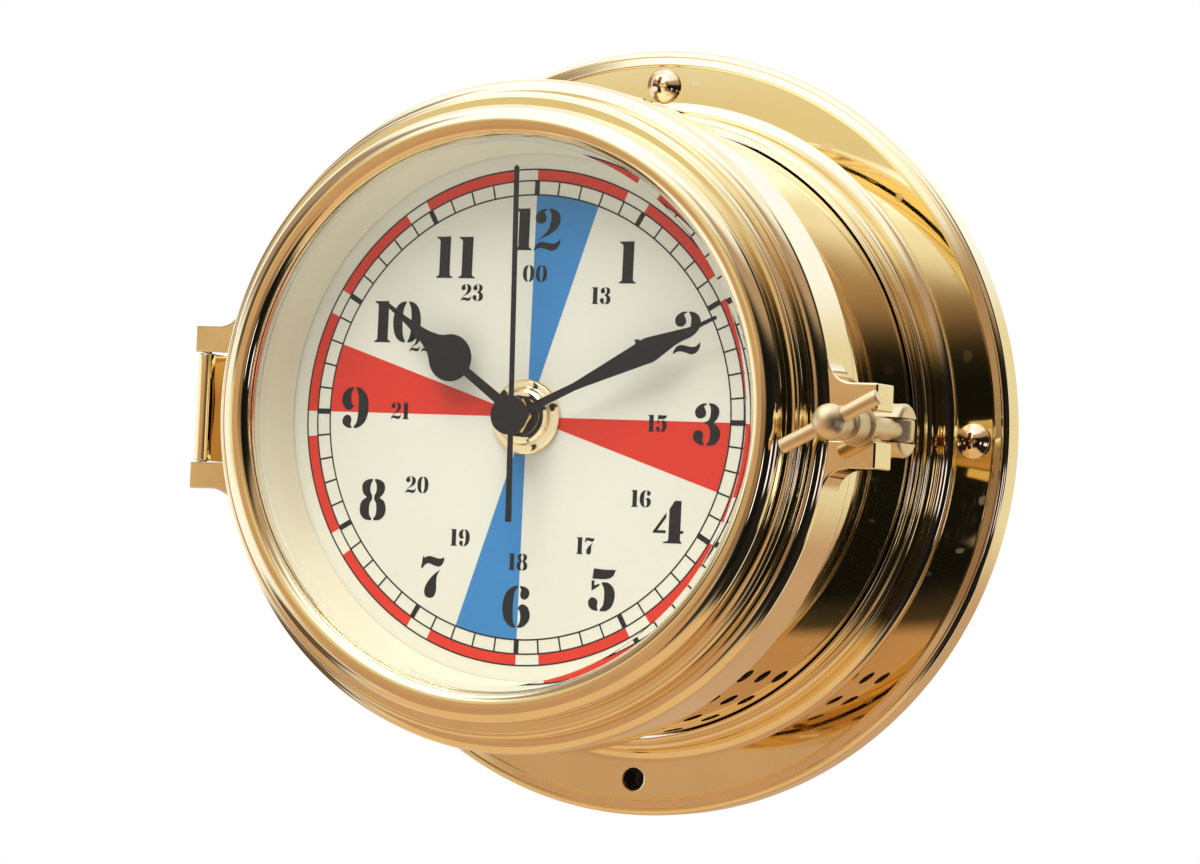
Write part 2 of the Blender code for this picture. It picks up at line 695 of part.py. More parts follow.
def build_hinge(brass, steel):
    """Knuckle and arm that reach from the drum past the bezel's skirt, and the pin through the ears."""
    half = BARREL_LENGTH / 2
    outer = HINGE_X - BARREL_RADIUS
    inner = outer + BRACKET_WALL
    foot_front = BEZEL_BACK - BRACKET_CLEAR
    foot_back = foot_front - BRACKET_FOOT
    outline = [
        (outer, HINGE_DEPTH),
        (outer, foot_back + 3),
        (outer + 3, foot_back),
        (-DRUM_RADIUS + 4, foot_back),
        (-DRUM_RADIUS + 4, foot_front),
        (inner, foot_front),
        (inner, HINGE_DEPTH),
    ]
    bracket = slab("hinge_bracket", outline, -half, half, brass, upright=True)
    knuckle = rod(
        "knuckle", BARREL_RADIUS, (HINGE_X, HINGE_DEPTH, -half), (HINGE_X, HINGE_DEPTH, half), brass
    )
    join(bracket, knuckle)
    seat = FLANGE_BORE
    wall = [(seat, foot_back - 1), (seat, foot_front + 1), (0, foot_front + 1), (0, foot_back - 1)]
    cut(bracket, turned("bracket_seat", wall[::-1], RING_SIDES, brass))
    drill = rod(
        "knuckle_drill",
        PIN_RADIUS + RUN,
        (HINGE_X, HINGE_DEPTH, -half - 1),
        (HINGE_X, HINGE_DEPTH, half + 1),
        brass,
    )
    cut(bracket, drill)
    end = half + GAP + EAR_HEIGHT
    rod("hinge_pin", PIN_RADIUS, (HINGE_X, HINGE_DEPTH, -end), (HINGE_X, HINGE_DEPTH, end), steel)


def build_clamp(brass, steel):
    """Slotted round boss on the drum, pivot pin, swing bolt, washer and ball nut with its bar."""
    boss_end = BOLT_X + CLEVIS_OVERHANG
    start = DRUM_RADIUS - 3
    profile = [(0, start), (CLEVIS_RADIUS, start), (CLEVIS_RADIUS, boss_end - CLEVIS_ROUND)]
    profile += [(CLEVIS_RADIUS - CLEVIS_ROUND, boss_end), (0, boss_end)]
    boss = turned("clamp_bracket", profile, SMALL_SIDES, brass)
    boss.rotation_euler = (0, 0, math.radians(90))
    boss.location = (0, -PIVOT_DEPTH * MM, 0)
    wide = CLEVIS_RADIUS + 2
    wall = [(0, PIVOT_DEPTH - wide), (FLANGE_BORE, PIVOT_DEPTH - wide)]
    wall += [(FLANGE_BORE, PIVOT_DEPTH + wide), (0, PIVOT_DEPTH + wide)]
    cut(boss, turned("boss_seat", wall, RING_SIDES, brass))
    slot_start = BOLT_X - EYE_RADIUS - 4 * GAP
    slot = [
        (slot_start, PIVOT_DEPTH - wide),
        (boss_end + 1, PIVOT_DEPTH - wide),
        (boss_end + 1, PIVOT_DEPTH + wide),
        (slot_start, PIVOT_DEPTH + wide),
    ]
    half_slot = CLEVIS_SLOT / 2
    cut(boss, slab("boss_slot", slot, -half_slot, half_slot, brass, upright=True))
    reach = CLEVIS_RADIUS - CLEVIS_ROUND / 2
    axis_low = (BOLT_X, PIVOT_DEPTH, -reach - 2)
    axis_high = (BOLT_X, PIVOT_DEPTH, reach + 2)
    cut(boss, rod("boss_drill", PIN_RADIUS + RUN, axis_low, axis_high, brass))
    rod("clamp_pin", PIN_RADIUS, (BOLT_X, PIVOT_DEPTH, -reach), (BOLT_X, PIVOT_DEPTH, reach), steel)

    half_eye = EYE_THICKNESS / 2
    bolt = rod(
        "swing_bolt",
        EYE_RADIUS,
        (BOLT_X, PIVOT_DEPTH, -half_eye),
        (BOLT_X, PIVOT_DEPTH, half_eye),
        brass,
    )
    bolt_end = STEM_BACK + NUT_STEM - 2 * GAP
    shank = rod("bolt_shank", BOLT_RADIUS, (BOLT_X, PIVOT_DEPTH, 0), (BOLT_X, bolt_end, 0), brass)
    join(bolt, shank)
    cut(bolt, rod("eye_drill", PIN_RADIUS + RUN, axis_low, axis_high, brass))
    hang([bolt], pivot("bolt_pivot", (BOLT_X, PIVOT_DEPTH, 0)))

    bore = BOLT_RADIUS + RUN
    washer = turned(
        "clamp_washer",
        [
            (bore, WASHER_BACK),
            (WASHER_RADIUS, WASHER_BACK),
            (WASHER_RADIUS, WASHER_BACK + WASHER_THICKNESS),
            (bore, WASHER_BACK + WASHER_THICKNESS),
        ],
        SMALL_SIDES,
        brass,
        (BOLT_X, 0),
    )
    bore_end = STEM_BACK + NUT_STEM
    neck_angle = math.degrees(math.asin(NUT_STEM_RADIUS / BALL_RADIUS))
    profile = [(0, bore_end), (bore, bore_end), (bore, COLLAR_BACK)]
    profile += [(NUT_COLLAR_RADIUS, COLLAR_BACK), (NUT_COLLAR_RADIUS, STEM_BACK - 0.5)]
    profile += [(NUT_COLLAR_RADIUS - 0.5, STEM_BACK), (NUT_STEM_RADIUS, STEM_BACK)]
    ball = arc((0, BALL_DEPTH), BALL_RADIUS, neck_angle - 90, 90, 8)
    profile += ball[:-1] + [(0, BALL_DEPTH + BALL_RADIUS)]
    nut = turned("clamp_nut", profile, SMALL_SIDES, brass, (BOLT_X, 0))
    along = math.radians(BAR_ANGLE)
    side = (BAR_HALF_LENGTH * math.cos(along), BAR_HALF_LENGTH * math.sin(along))
    left = (BOLT_X - side[0], BALL_DEPTH, -side[1])
    right = (BOLT_X + side[0], BALL_DEPTH, side[1])
    cut(nut, rod("bar_drill", BAR_RADIUS + GAP / 2, left, right, brass, SCREW_SIDES))
    bar = rod("clamp_bar", BAR_RADIUS, left, right, brass, SCREW_SIDES)
    hang([washer], pivot("washer_slide", (BOLT_X, WASHER_BACK, 0)))
    hang([nut, bar], pivot("nut_turn", (BOLT_X, BALL_DEPTH, 0)))


def turn_points(points, angle):
    """Turn (across, along) points so that along aims at a clock angle."""
    turn = math.radians(angle)
    sine, cosine = math.sin(turn), math.cos(turn)
    return [(x * cosine + z * sine, z * cosine - x * sine) for x, z in points]


def hub_arc(radius, arm, steps):
    """Return a hub's round outline, open where the hand's arm leaves it."""
    half_gap = math.degrees(math.asin(arm / 2 / radius)) + HUB_FILLET_ANGLE
    return arc((0, 0), radius, 90 + half_gap, 450 - half_gap, steps)


def build_hands(black, brass):
    """Pear-shaped hour hand, slim leaf minute hand, stick second hand, its cap and the hex hand nut."""
    arm = HOUR_ARM / 2
    hub = hub_arc(HOUR_HUB_RADIUS, HOUR_ARM, 20)
    flare = HOUR_TIP - HOUR_DISC_PLACE - HOUR_DISC_RADIUS
    disc = arc((0, HOUR_DISC_PLACE), HOUR_DISC_RADIUS, -80, 35, 8)
    waist = (HOUR_DISC_RADIUS * 0.34, HOUR_DISC_PLACE + HOUR_DISC_RADIUS + flare * 0.12)
    neck = (HOUR_DISC_RADIUS * 0.2, HOUR_DISC_PLACE + HOUR_DISC_RADIUS + flare * 0.33)
    right = [(arm, HOUR_DISC_PLACE - HOUR_DISC_RADIUS)] + disc + [waist, neck, (0.35, HOUR_TIP)]
    left = [(-x, z) for x, z in reversed(right)]
    hour = slab(
        "hour_hand",
        turn_points(hub + right + left, HOUR_ANGLE),
        HOUR_HAND_DEPTH,
        HOUR_HAND_DEPTH + HAND_THICKNESS,
        black,
    )
    cut_round(hour, HOUR_PIPE_RADIUS + GAP / 2, HOUR_HAND_DEPTH)

    hub = hub_arc(MINUTE_HUB_RADIUS, MINUTE_ARM, 16)
    half = MINUTE_BLADE / 2
    needle = MINUTE_NEEDLE_WIDTH / 2
    right = [(MINUTE_ARM / 2, MINUTE_WIDEST * 0.5), (half, MINUTE_WIDEST)]
    right += [(needle, MINUTE_TIP - MINUTE_NEEDLE), (needle * 0.8, MINUTE_TIP)]
    left = [(-x, z) for x, z in reversed(right)]
    minute = slab(
        "minute_hand",
        turn_points(hub + right + left, MINUTE_ANGLE),
        MINUTE_HAND_DEPTH,
        MINUTE_HAND_DEPTH + HAND_THICKNESS,
        black,
    )
    cut_round(minute, MINUTE_PIPE_RADIUS + GAP / 2, MINUTE_HAND_DEPTH)

    half = SECOND_WIDTH / 2
    side = math.sqrt(SECOND_HUB_RADIUS**2 - half**2)
    edge = math.degrees(math.atan2(side, half))
    right = [(half, side), (half, SECOND_TIP - half), (0, SECOND_TIP)]
    left = [(-half, SECOND_TIP - half), (-half, side)]
    hub_left = arc((0, 0), SECOND_HUB_RADIUS, 180 - edge + 8, 180 + edge - 8, 6)
    tail = [(-half, -side), (-half * 1.3, -SECOND_TAIL), (half * 1.3, -SECOND_TAIL), (half, -side)]
    hub_right = arc((0, 0), SECOND_HUB_RADIUS, -edge + 8, edge - 8, 6)
    second = slab(
        "second_hand",
        turn_points(right + left + hub_left + tail + hub_right, SECOND_ANGLE),
        SECOND_HAND_DEPTH,
        SECOND_HAND_DEPTH + HAND_THICKNESS,
        black,
    )
    cut_round(second, SECOND_SHAFT_RADIUS + GAP / 2, SECOND_HAND_DEPTH)

    cap_back = SECOND_HAND_DEPTH + HAND_THICKNESS + GAP
    cap_front = cap_back + CAP_HEIGHT
    bore = SECOND_SHAFT_RADIUS + GAP
    cap = turned(
        "hand_cap",
        [
            (0, cap_back + CAP_HEIGHT / 2),
            (bore, cap_back + CAP_HEIGHT / 2),
            (bore, cap_back),
            (CAP_RADIUS, cap_back),
            (CAP_RADIUS, cap_front - 0.3),
            (CAP_RADIUS - 0.3, cap_front),
            (0, cap_front),
        ],
        SMALL_SIDES,
        black,
    )
    nut = slab(
        "hand_nut",
        circle(HAND_NUT_RADIUS, 6),
        HAND_NUT_BACK,
        HAND_NUT_BACK + HAND_NUT_HEIGHT,
        brass,
    )
    cut_round(nut, MINUTE_PIPE_RADIUS + GAP / 2, HAND_NUT_BACK)
    hang([hour], pivot("hour_axis", (0, HOUR_HAND_DEPTH, 0)))
    hang([minute, nut], pivot("minute_axis", (0, MINUTE_HAND_DEPTH, 0)))
    hang([second, cap], pivot("second_axis", (0, SECOND_HAND_DEPTH, 0)))


def cut_round(target, radius, depth, place=(0.0, 0.0)):
    """Cut a round hole along Y through a thin piece."""
    start = (place[0], depth - 2, place[1])
    end = (place[0], depth + HAND_NUT_HEIGHT + 2, place[1])
    cut(target, rod(f"{target.name}_hole", radius, start, end, target.data.materials[0]))


def rounded_square(size, corner):
    half = size / 2 - corner
    points = arc((half, half), corner, 0, 90, 3)
    points += arc((-half, half), corner, 90, 180, 3)
    points += arc((-half, -half), corner, 180, 270, 3)
    points += arc((half, -half), corner, 270, 360, 3)
    return points


def build_movement_case(black, rubber, brass):
    """Two-part plastic box, threaded bush, rubber washer and the round nut that clamps the dial."""
    outer = rounded_square(CASE_SIZE, CASE_CORNER)
    inner = rounded_square(CASE_SIZE - 2 * CASE_WALL, CASE_CORNER - CASE_WALL)
    front = slab("movement_front", outer, CASE_SEAM, MOVEMENT_FRONT, black)
    cut(front, slab("front_hollow", inner, CASE_SEAM - 1, MOVEMENT_FRONT - CASE_WALL, black))
    bush_hole = rod(
        "front_bush_hole",
        BUSH_RADIUS + GAP,
        (0, MOVEMENT_FRONT - CASE_WALL - 1, 0),
        (0, MOVEMENT_FRONT + 1, 0),
        black,
    )
    cut(front, bush_hole)
    seam = CASE_SEAM - GAP
    rear = slab("movement_rear", outer, MOVEMENT_BACK, seam, black)
    cut(rear, slab("rear_hollow", inner, MOVEMENT_BACK + CASE_WALL, seam + 1, black))
    half = BATTERY_LENGTH / 2 + GAP
    bay = BATTERY_RADIUS + GAP
    middle = battery_height()
    hatch = [(-half, middle - bay), (half, middle - bay), (half, middle + bay), (-half, middle + bay)]
    cut(rear, slab("battery_hatch", hatch, MOVEMENT_BACK - 1, MOVEMENT_BACK + CASE_WALL + 1, black))
    knob_hole = rod(
        "knob_hole",
        ARBOR_RADIUS + RUN,
        (MOTION_PLACE[0], MOVEMENT_BACK - 1, MOTION_PLACE[1]),
        (MOTION_PLACE[0], MOVEMENT_BACK + CASE_WALL + 1, MOTION_PLACE[1]),
        black,
    )
    cut(rear, knob_hole)

    bore = HOUR_PIPE_RADIUS + RUN
    flange_front = MOVEMENT_FRONT - CASE_WALL - GAP
    flange_back = flange_front - BUSH_FLANGE_THICKNESS
    turned(
        "threaded_bush",
        [
            (bore, flange_back),
            (BUSH_FLANGE_RADIUS, flange_back),
            (BUSH_FLANGE_RADIUS, flange_front),
            (BUSH_RADIUS, flange_front),
            (BUSH_RADIUS, BUSH_FRONT),
            (bore, BUSH_FRONT),
        ],
        SMALL_SIDES,
        brass,
    )
    hole = BUSH_RADIUS + GAP
    rubber_back = MOVEMENT_FRONT + GAP
    rubber_front = rubber_back + RUBBER_THICKNESS
    turned(
        "rubber_washer",
        [(hole, rubber_back), (RUBBER_RADIUS, rubber_back), (RUBBER_RADIUS, rubber_front), (hole, rubber_front)],
        SMALL_SIDES,
        rubber,
    )
    seat = DIAL_FRONT + GAP
    top = seat + FIXING_NUT_HEIGHT
    turned(
        "fixing_nut",
        [
            (hole, seat),
            (FIXING_NUT_RADIUS, seat),
            (FIXING_NUT_RADIUS, seat + 0.6),
            (FIXING_NUT_RADIUS - 0.5, seat + 1.1),
            (FIXING_NUT_STEP, seat + 1.3),
            (FIXING_NUT_STEP - 0.6, top - 0.4),
            (FIXING_NUT_STEP - 1.1, top),
            (hole, top),
        ],
        SMALL_SIDES,
        brass,
    )


def battery_height():
    """Return the height of the battery's axis, below the largest wheel on the centre."""
    return -(wheel_radius("minute") + BATTERY_CLEAR + BATTERY_RADIUS)


def wheel_radius(name):
    """Return pitch radii that keep each pair's centre distance and its ratio."""
    shares = {
        "hour": MOTION_CENTRES * 4 / 5,
        "motion_pinion": MOTION_CENTRES / 5,
        "motion": MOTION_CENTRES * 3 / 4,
        "minute_pinion": MOTION_CENTRES / 4,
        "minute": THIRD_CENTRES * 8 / 9,
        "third_pinion": THIRD_CENTRES / 9,
        "third": THIRD_CENTRES * 7.5 / 8.5,
        "second_pinion": THIRD_CENTRES / 8.5,
        "second": STEP_CENTRES * 6 / 7,
        "step_pinion": STEP_CENTRES / 7,
        "step": ROTOR_CENTRES * 5 / 6,
        "rotor_pinion": ROTOR_CENTRES / 6,
    }
    return shares[name]


def stepped(bore, lengths):
    """Return a turned outline of (radius, low, high) lengths that follow on. A bore of 0 is solid."""
    profile = [(bore, lengths[0][1])]
    for radius, low, high in lengths:
        profile += [(radius, low), (radius, high)]
    return profile + [(bore, lengths[-1][2])]


def pinion_length(name, back):
    """Return the length of a spindle that is its pinion, as wide as the mesh gap allows."""
    return wheel_radius(name) - MESH_GAP, back, back + PINION_THICKNESS


def geared(name, teeth, back, place, profile, look):
    """Make a toothed wheel in one piece with its spindle or pipe."""
    disc = toothed(wheel_radius(name), teeth, place)
    made = slab(f"{name}_wheel", disc, back, back + WHEEL_THICKNESS, look)
    bore = profile[0][0]
    if bore:
        middle = (bore + profile[1][0]) / 2
        cut_round(made, middle, back, place)
    sides = SMALL_SIDES if bore else SPINDLE_SIDES
    join(made, turned(f"{name}_spindle", profile, sides, look, place))
    return made


def build_train(plastic, steel):
    """Wheels of the movement: each has its arbor or pipe and its pinion in one piece."""
    centre = (0.0, 0.0)
    thin = ARBOR_RADIUS
    cannon = pinion_length("minute_pinion", MOTION_WHEEL_BACK)
    pipe_front = HAND_NUT_BACK + HAND_NUT_HEIGHT
    pipe = [
        (MINUTE_PIPE_RADIUS, MINUTE_WHEEL_BACK - 0.2, cannon[1]),
        cannon,
        (MINUTE_PIPE_RADIUS, cannon[2], pipe_front),
    ]
    bore = SECOND_SHAFT_RADIUS + RUN
    minute = geared("minute", 20, MINUTE_WHEEL_BACK, centre, stepped(bore, pipe), plastic)

    pipe = [(HOUR_PIPE_RADIUS, HOUR_WHEEL_BACK - 0.1, HOUR_HAND_DEPTH + HAND_THICKNESS)]
    bore = MINUTE_PIPE_RADIUS + RUN
    hour = geared("hour", 24, HOUR_WHEEL_BACK, centre, stepped(bore, pipe), plastic)

    leaves = pinion_length("second_pinion", THIRD_WHEEL_BACK - 0.15)
    shaft = [
        (thin, TRAIN_BACK, leaves[1]),
        leaves,
        (SECOND_SHAFT_RADIUS, leaves[2], SECOND_HAND_DEPTH + HAND_THICKNESS + GAP + CAP_HEIGHT / 4),
    ]
    second = geared("second", 20, SECOND_WHEEL_BACK, centre, stepped(0, shaft), plastic)

    leaves = pinion_length("third_pinion", MINUTE_WHEEL_BACK - 0.15)
    arbor = [(thin, TRAIN_BACK, leaves[1]), leaves, (thin, leaves[2], TRAIN_FRONT)]
    third = geared("third", 20, THIRD_WHEEL_BACK, THIRD_PLACE, stepped(0, arbor), plastic)

    leaves = pinion_length("step_pinion", SECOND_WHEEL_BACK - 0.15)
    arbor = [(thin, TRAIN_BACK, leaves[1]), leaves, (thin, leaves[2], TRAIN_FRONT)]
    step = geared("step", 16, STEP_WHEEL_BACK, STEP_PLACE, stepped(0, arbor), plastic)

    knob_front = MOVEMENT_BACK - GAP
    leaves = pinion_length("motion_pinion", HOUR_WHEEL_BACK - 0.15)
    arbor = [(thin, knob_front - 0.5, leaves[1]), leaves, (thin, leaves[2], TRAIN_FRONT)]
    motion_back = MOTION_WHEEL_BACK + 0.15
    motion = geared("motion", 24, motion_back, MOTION_PLACE, stepped(0, arbor), plastic)

    bore = ARBOR_RADIUS + GAP
    floor = knob_front - 0.8
    grip = [
        (0, floor),
        (bore, floor),
        (bore, knob_front),
        (KNOB_RADIUS, knob_front),
        (KNOB_RADIUS, knob_front - KNOB_HEIGHT + 0.5),
        (KNOB_RADIUS - 0.5, knob_front - KNOB_HEIGHT),
        (0, knob_front - KNOB_HEIGHT),
    ]
    knob = turned("setting_knob", grip, SCREW_SIDES, plastic, MOTION_PLACE)

    leaves = pinion_length("rotor_pinion", STEP_WHEEL_BACK - 0.15)
    magnet = (MAGNET_RADIUS, magnet_back(), magnet_back() + MAGNET_HEIGHT)
    arbor = [
        (thin, TRAIN_BACK, leaves[1]),
        leaves,
        (thin, leaves[2], magnet[1]),
        magnet,
        (thin, magnet[2], TRAIN_FRONT),
    ]
    rotor = turned("motor_rotor", stepped(0, arbor), SCREW_SIDES, steel, ROTOR_PLACE)

    hang([second], bpy.data.objects["second_axis"])
    hang([minute], bpy.data.objects["minute_axis"])
    hang([hour], bpy.data.objects["hour_axis"])
    hang([third], pivot("third_axis", (THIRD_PLACE[0], THIRD_WHEEL_BACK, THIRD_PLACE[1])))
    hang([step], pivot("step_axis", (STEP_PLACE[0], STEP_WHEEL_BACK, STEP_PLACE[1])))
    hang([motion, knob], pivot("setting_axis", (MOTION_PLACE[0], knob_front, MOTION_PLACE[1])))
    hang([rotor], pivot("rotor_axis", (ROTOR_PLACE[0], magnet_back(), ROTOR_PLACE[1])))


def magnet_back():
    """Return the depth of the back of the rotor's magnet, in front of its pinion."""
    return STEP_WHEEL_BACK + PINION_THICKNESS + GAP


def build_electrics(copper, steel, green, wrap):
    """Battery with its two contacts, circuit board with the crystal, stator and coil."""
    height = battery_height()
    half = BATTERY_LENGTH / 2
    axis_depth = MOVEMENT_BACK - BATTERY_PROUD + BATTERY_RADIUS
    cell = rod("battery", BATTERY_RADIUS, (-half, axis_depth, height), (half, axis_depth, height), wrap)
    nub_end = half + 1.2
    nub = rod("battery_nub", 2.6, (half - 1, axis_depth, height), (nub_end, axis_depth, height), wrap)
    join(cell, nub)
    front = MOVEMENT_FRONT - CASE_WALL - GAP
    back = MOVEMENT_BACK + CASE_WALL + GAP
    tall = BATTERY_RADIUS - 1
    for name, near in (("battery_contact_plus", nub_end + GAP), ("battery_contact_minus", -half - GAP)):
        far = near + math.copysign(CONTACT_THICKNESS, near)
        low, high = min(near, far), max(near, far)
        strip = [(low, height - tall), (high, height - tall), (high, height + tall), (low, height + tall)]
        slab(name, strip, back, front, steel)

    board_left = ROTOR_PLACE[0] - MAGNET_RADIUS
    board_right = CASE_SIZE / 2 - CASE_WALL - BOARD_MARGIN
    board_low = -wheel_radius("minute")
    board_high = CASE_SIZE / 2 - CASE_WALL - BOARD_MARGIN
    board_front = front
    board_back = board_front - BOARD_THICKNESS
    board = [
        (board_left, board_low),
        (board_right, board_low),
        (board_right, board_high),
        (board_left, board_high),
    ]
    panel = slab("circuit_board", board, board_back, board_front, green)
    x, z = ROTOR_PLACE
    cut(panel, rod("board_hole", 1.2, (x, board_back - 1, z), (x, board_front + 1, z), green, 12))
    crystal_depth = board_back - GAP - CRYSTAL_RADIUS
    crystal_x = board_right - 4.0
    rod(
        "quartz_crystal",
        CRYSTAL_RADIUS,
        (crystal_x, crystal_depth, 0),
        (crystal_x, crystal_depth, CRYSTAL_LENGTH),
        steel,
        12,
    )

    stator_back = magnet_back() + MAGNET_HEIGHT / 2 - STATOR_THICKNESS / 2
    half_core = CORE_WIDTH / 2
    pole = MAGNET_RADIUS + POLE_WIDTH
    coil_left = x - pole - COIL_LENGTH - 2.0
    plate = [
        (x - pole, z - pole),
        (x + pole, z - pole),
        (x + pole, COIL_HEIGHT + half_core),
        (coil_left, COIL_HEIGHT + half_core),
        (coil_left, COIL_HEIGHT - half_core),
        (x - pole, COIL_HEIGHT - half_core),
    ]
    stator = slab("stator", plate, stator_back, stator_back + STATOR_THICKNESS, steel)
    bore = rod(
        "stator_bore",
        MAGNET_RADIUS + GAP,
        (x, stator_back - 1, z),
        (x, stator_back + STATOR_THICKNESS + 1, z),
        steel,
    )
    cut(stator, bore)
    middle = stator_back + STATOR_THICKNESS / 2
    start = coil_left + 1.0
    coil = rod(
        "coil",
        COIL_RADIUS,
        (start, middle, COIL_HEIGHT),
        (start + COIL_LENGTH, middle, COIL_HEIGHT),
        copper,
        SCREW_SIDES,
    )
    opening = half_core + GAP
    slot = [
        (start - 1, COIL_HEIGHT - opening),
        (start + COIL_LENGTH + 1, COIL_HEIGHT - opening),
        (start + COIL_LENGTH + 1, COIL_HEIGHT + opening),
        (start - 1, COIL_HEIGHT + opening),
    ]
    low = stator_back - GAP
    cut(coil, slab("coil_bore", slot, low, low + STATOR_THICKNESS + 2 * GAP, copper))


def main():
    clear_scene()
    brass = material("polished_brass", (0.87, 0.66, 0.33), 0.08, 1.0)
    steel = material("steel", (0.62, 0.62, 0.60), 0.3, 1.0)
    copper = material("copper_wire", (0.72, 0.36, 0.2), 0.4, 1.0)
    black = material("matt_black", (0.02, 0.02, 0.02), 0.5, 0.0)
    rubber = material("black_rubber", (0.03, 0.03, 0.03), 0.8, 0.0)
    cream = material("dial_cream", (0.86, 0.82, 0.68), 0.6, 0.0)
    satin = material("satin_white", (0.82, 0.80, 0.72), 0.4, 0.0)
    clear = material("clear_glass", (0.95, 0.97, 0.96), 0.02, 0.0)
    plastic = material("white_plastic", (0.8, 0.8, 0.78), 0.4, 0.0)
    green = material("board_green", (0.05, 0.25, 0.1), 0.5, 0.0)
    wrap = material("battery_wrap", (0.08, 0.08, 0.1), 0.35, 0.0)
    build_flange(brass)
    for name, angle in (
        ("mounting_screw_top", 0),
        ("mounting_screw_right", 90),
        ("mounting_screw_left", 270),
    ):
        build_mounting_screw(name, angle, brass)
    build_drum(brass, black)
    build_dial(cream, satin)
    build_bezel(brass, clear, rubber)
    build_hinge(brass, steel)
    build_clamp(brass, steel)
    build_hands(black, brass)
    build_movement_case(black, rubber, brass)
    build_train(plastic, steel)
    build_electrics(copper, steel, green, wrap)


main()
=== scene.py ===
import math

import bmesh
import bpy
from mathutils import Matrix, Vector


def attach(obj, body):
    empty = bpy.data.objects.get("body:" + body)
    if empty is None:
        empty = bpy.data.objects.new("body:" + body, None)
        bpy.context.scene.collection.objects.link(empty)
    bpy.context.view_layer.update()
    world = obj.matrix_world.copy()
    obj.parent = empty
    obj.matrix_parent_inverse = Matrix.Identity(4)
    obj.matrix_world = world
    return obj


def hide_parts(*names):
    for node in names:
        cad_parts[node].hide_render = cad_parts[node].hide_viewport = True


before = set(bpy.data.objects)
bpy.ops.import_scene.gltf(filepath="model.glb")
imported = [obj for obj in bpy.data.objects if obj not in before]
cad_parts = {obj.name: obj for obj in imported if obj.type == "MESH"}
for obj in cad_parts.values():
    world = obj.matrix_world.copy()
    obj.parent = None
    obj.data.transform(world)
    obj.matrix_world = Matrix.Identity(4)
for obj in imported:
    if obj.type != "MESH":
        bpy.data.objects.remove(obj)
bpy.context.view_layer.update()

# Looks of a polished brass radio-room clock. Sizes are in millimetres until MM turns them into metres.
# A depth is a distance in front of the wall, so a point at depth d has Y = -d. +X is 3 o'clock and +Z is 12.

MM = 0.001
AROUND = 240  # sides of the large turned rings
SUPPORT = 0.15  # distance of the holding edge beside a rounding
FREE_SHARE = 0.02  # least share of an edge that its two roundings leave free
ARC_STEP = 12  # most degrees between the points of a rounding
FLAT_ANGLE = 32  # edges sharper than this many degrees stay sharp

HINGE_AXIS = (-81.0, 75.3)
BOLT_X = 82.0
PIVOT_DEPTH = 55.1
BALL_DEPTH = 93.8
BALL_RADIUS, STEM_RADIUS = 3.9, 3.0
BAR_REACH, BAR_RADIUS, BAR_ANGLE = 12.2, 1.65, 27.5
PIN_RADIUS, PIN_BORE = 1.2, 1.25
LUG_BACK, LUG_FRONT = 67.8, 77.4
HOUR_ANGLE, MINUTE_ANGLE, SECOND_ANGLE = 305.6, 64.5, -1.4
HAND_THICKNESS = 0.4
SKIRT_RADIUS = 75.3
SCREW_CIRCLE = 81.6
DRUM_RADIUS = 71.7
VENT_RADIUS, VENT_PITCH, VENT_DEPTH = 2.3, 9.8, 28.4
VENT_ROWS, VENT_COLUMNS = 11, 3
DIAL_FACE = 71.1
PRINT_LOW, PRINT_MIDDLE, PRINT_HIGH = 71.105, 71.13, 71.155
TRACK_INNER, TRACK_OUTER, DASH_OUTER = 49.73, 52.91, 55.46


# Outlines


def place_at(angle, radius):
    """Return the (x, z) place at a clock angle in degrees from 12 and a radius."""
    turn = math.radians(angle)
    return radius * math.sin(turn), radius * math.cos(turn)


def arc(centre, radius, start, end, steps):
    """Return points on an arc, with angles in degrees from the first axis."""
    points = []
    for step in range(steps + 1):
        turn = math.radians(start + (end - start) * step / steps)
        points.append((centre[0] + radius * math.cos(turn), centre[1] + radius * math.sin(turn)))
    return points


def oblong(left, low, right, high):
    """Return the four corners of an oblong."""
    return [(left, low), (right, low), (right, high), (left, high)]


def corner_edges(corners, index):
    """Return a corner's place and its edges to the corners before and after it."""
    here = Vector(corners[index][:2])
    after = corners[(index + 1) % len(corners)]
    return here, Vector(corners[index - 1][:2]) - here, Vector(after[:2]) - here


def corner_reach(corners, index, closed):
    """How far along its edges the rounding of a corner would like to go."""
    if len(corners[index]) < 3 or (not closed and index in (0, len(corners) - 1)):
        return 0.0
    _, before, after = corner_edges(corners, index)
    return corners[index][2] / math.tan(before.angle(after) / 2)


def rounded(corners, closed=True):
    """Round each (a, b, radius) corner and put a holding point on either side of the rounding."""
    wishes = [corner_reach(corners, index, closed) for index in range(len(corners))]
    points = []
    for index, wish in enumerate(wishes):
        here, before, after = corner_edges(corners, index)
        if wish == 0:
            points.append(tuple(here))
            continue
        reach = wish
        spare = []
        for edge, other in ((before, wishes[index - 1]), (after, wishes[(index + 1) % len(corners)])):
            reach = min(reach, edge.length * (1 - FREE_SHARE) * wish / (wish + other))
            spare.append(max(edge.length - wish - other, edge.length * FREE_SHARE))
        before.normalize()
        after.normalize()
        opening = before.angle(after)
        radius = reach * math.tan(opening / 2)
        middle = here + (before + after).normalized() * (radius / math.sin(opening / 2))
        first = here + before * reach - middle
        last = here + after * reach - middle
        sweep = math.atan2(first.cross(last), first.dot(last))
        steps = max(2, math.ceil(abs(math.degrees(sweep)) / ARC_STEP))
        points.append(tuple(here + before * (reach + min(SUPPORT, spare[0] * 0.3))))
        for step in range(steps + 1):
            spoke = first.copy()
            spoke.rotate(Matrix.Rotation(sweep * step / steps, 2))
            points.append(tuple(middle + spoke))
        points.append(tuple(here + after * (reach + min(SUPPORT, spare[1] * 0.3))))
    return points


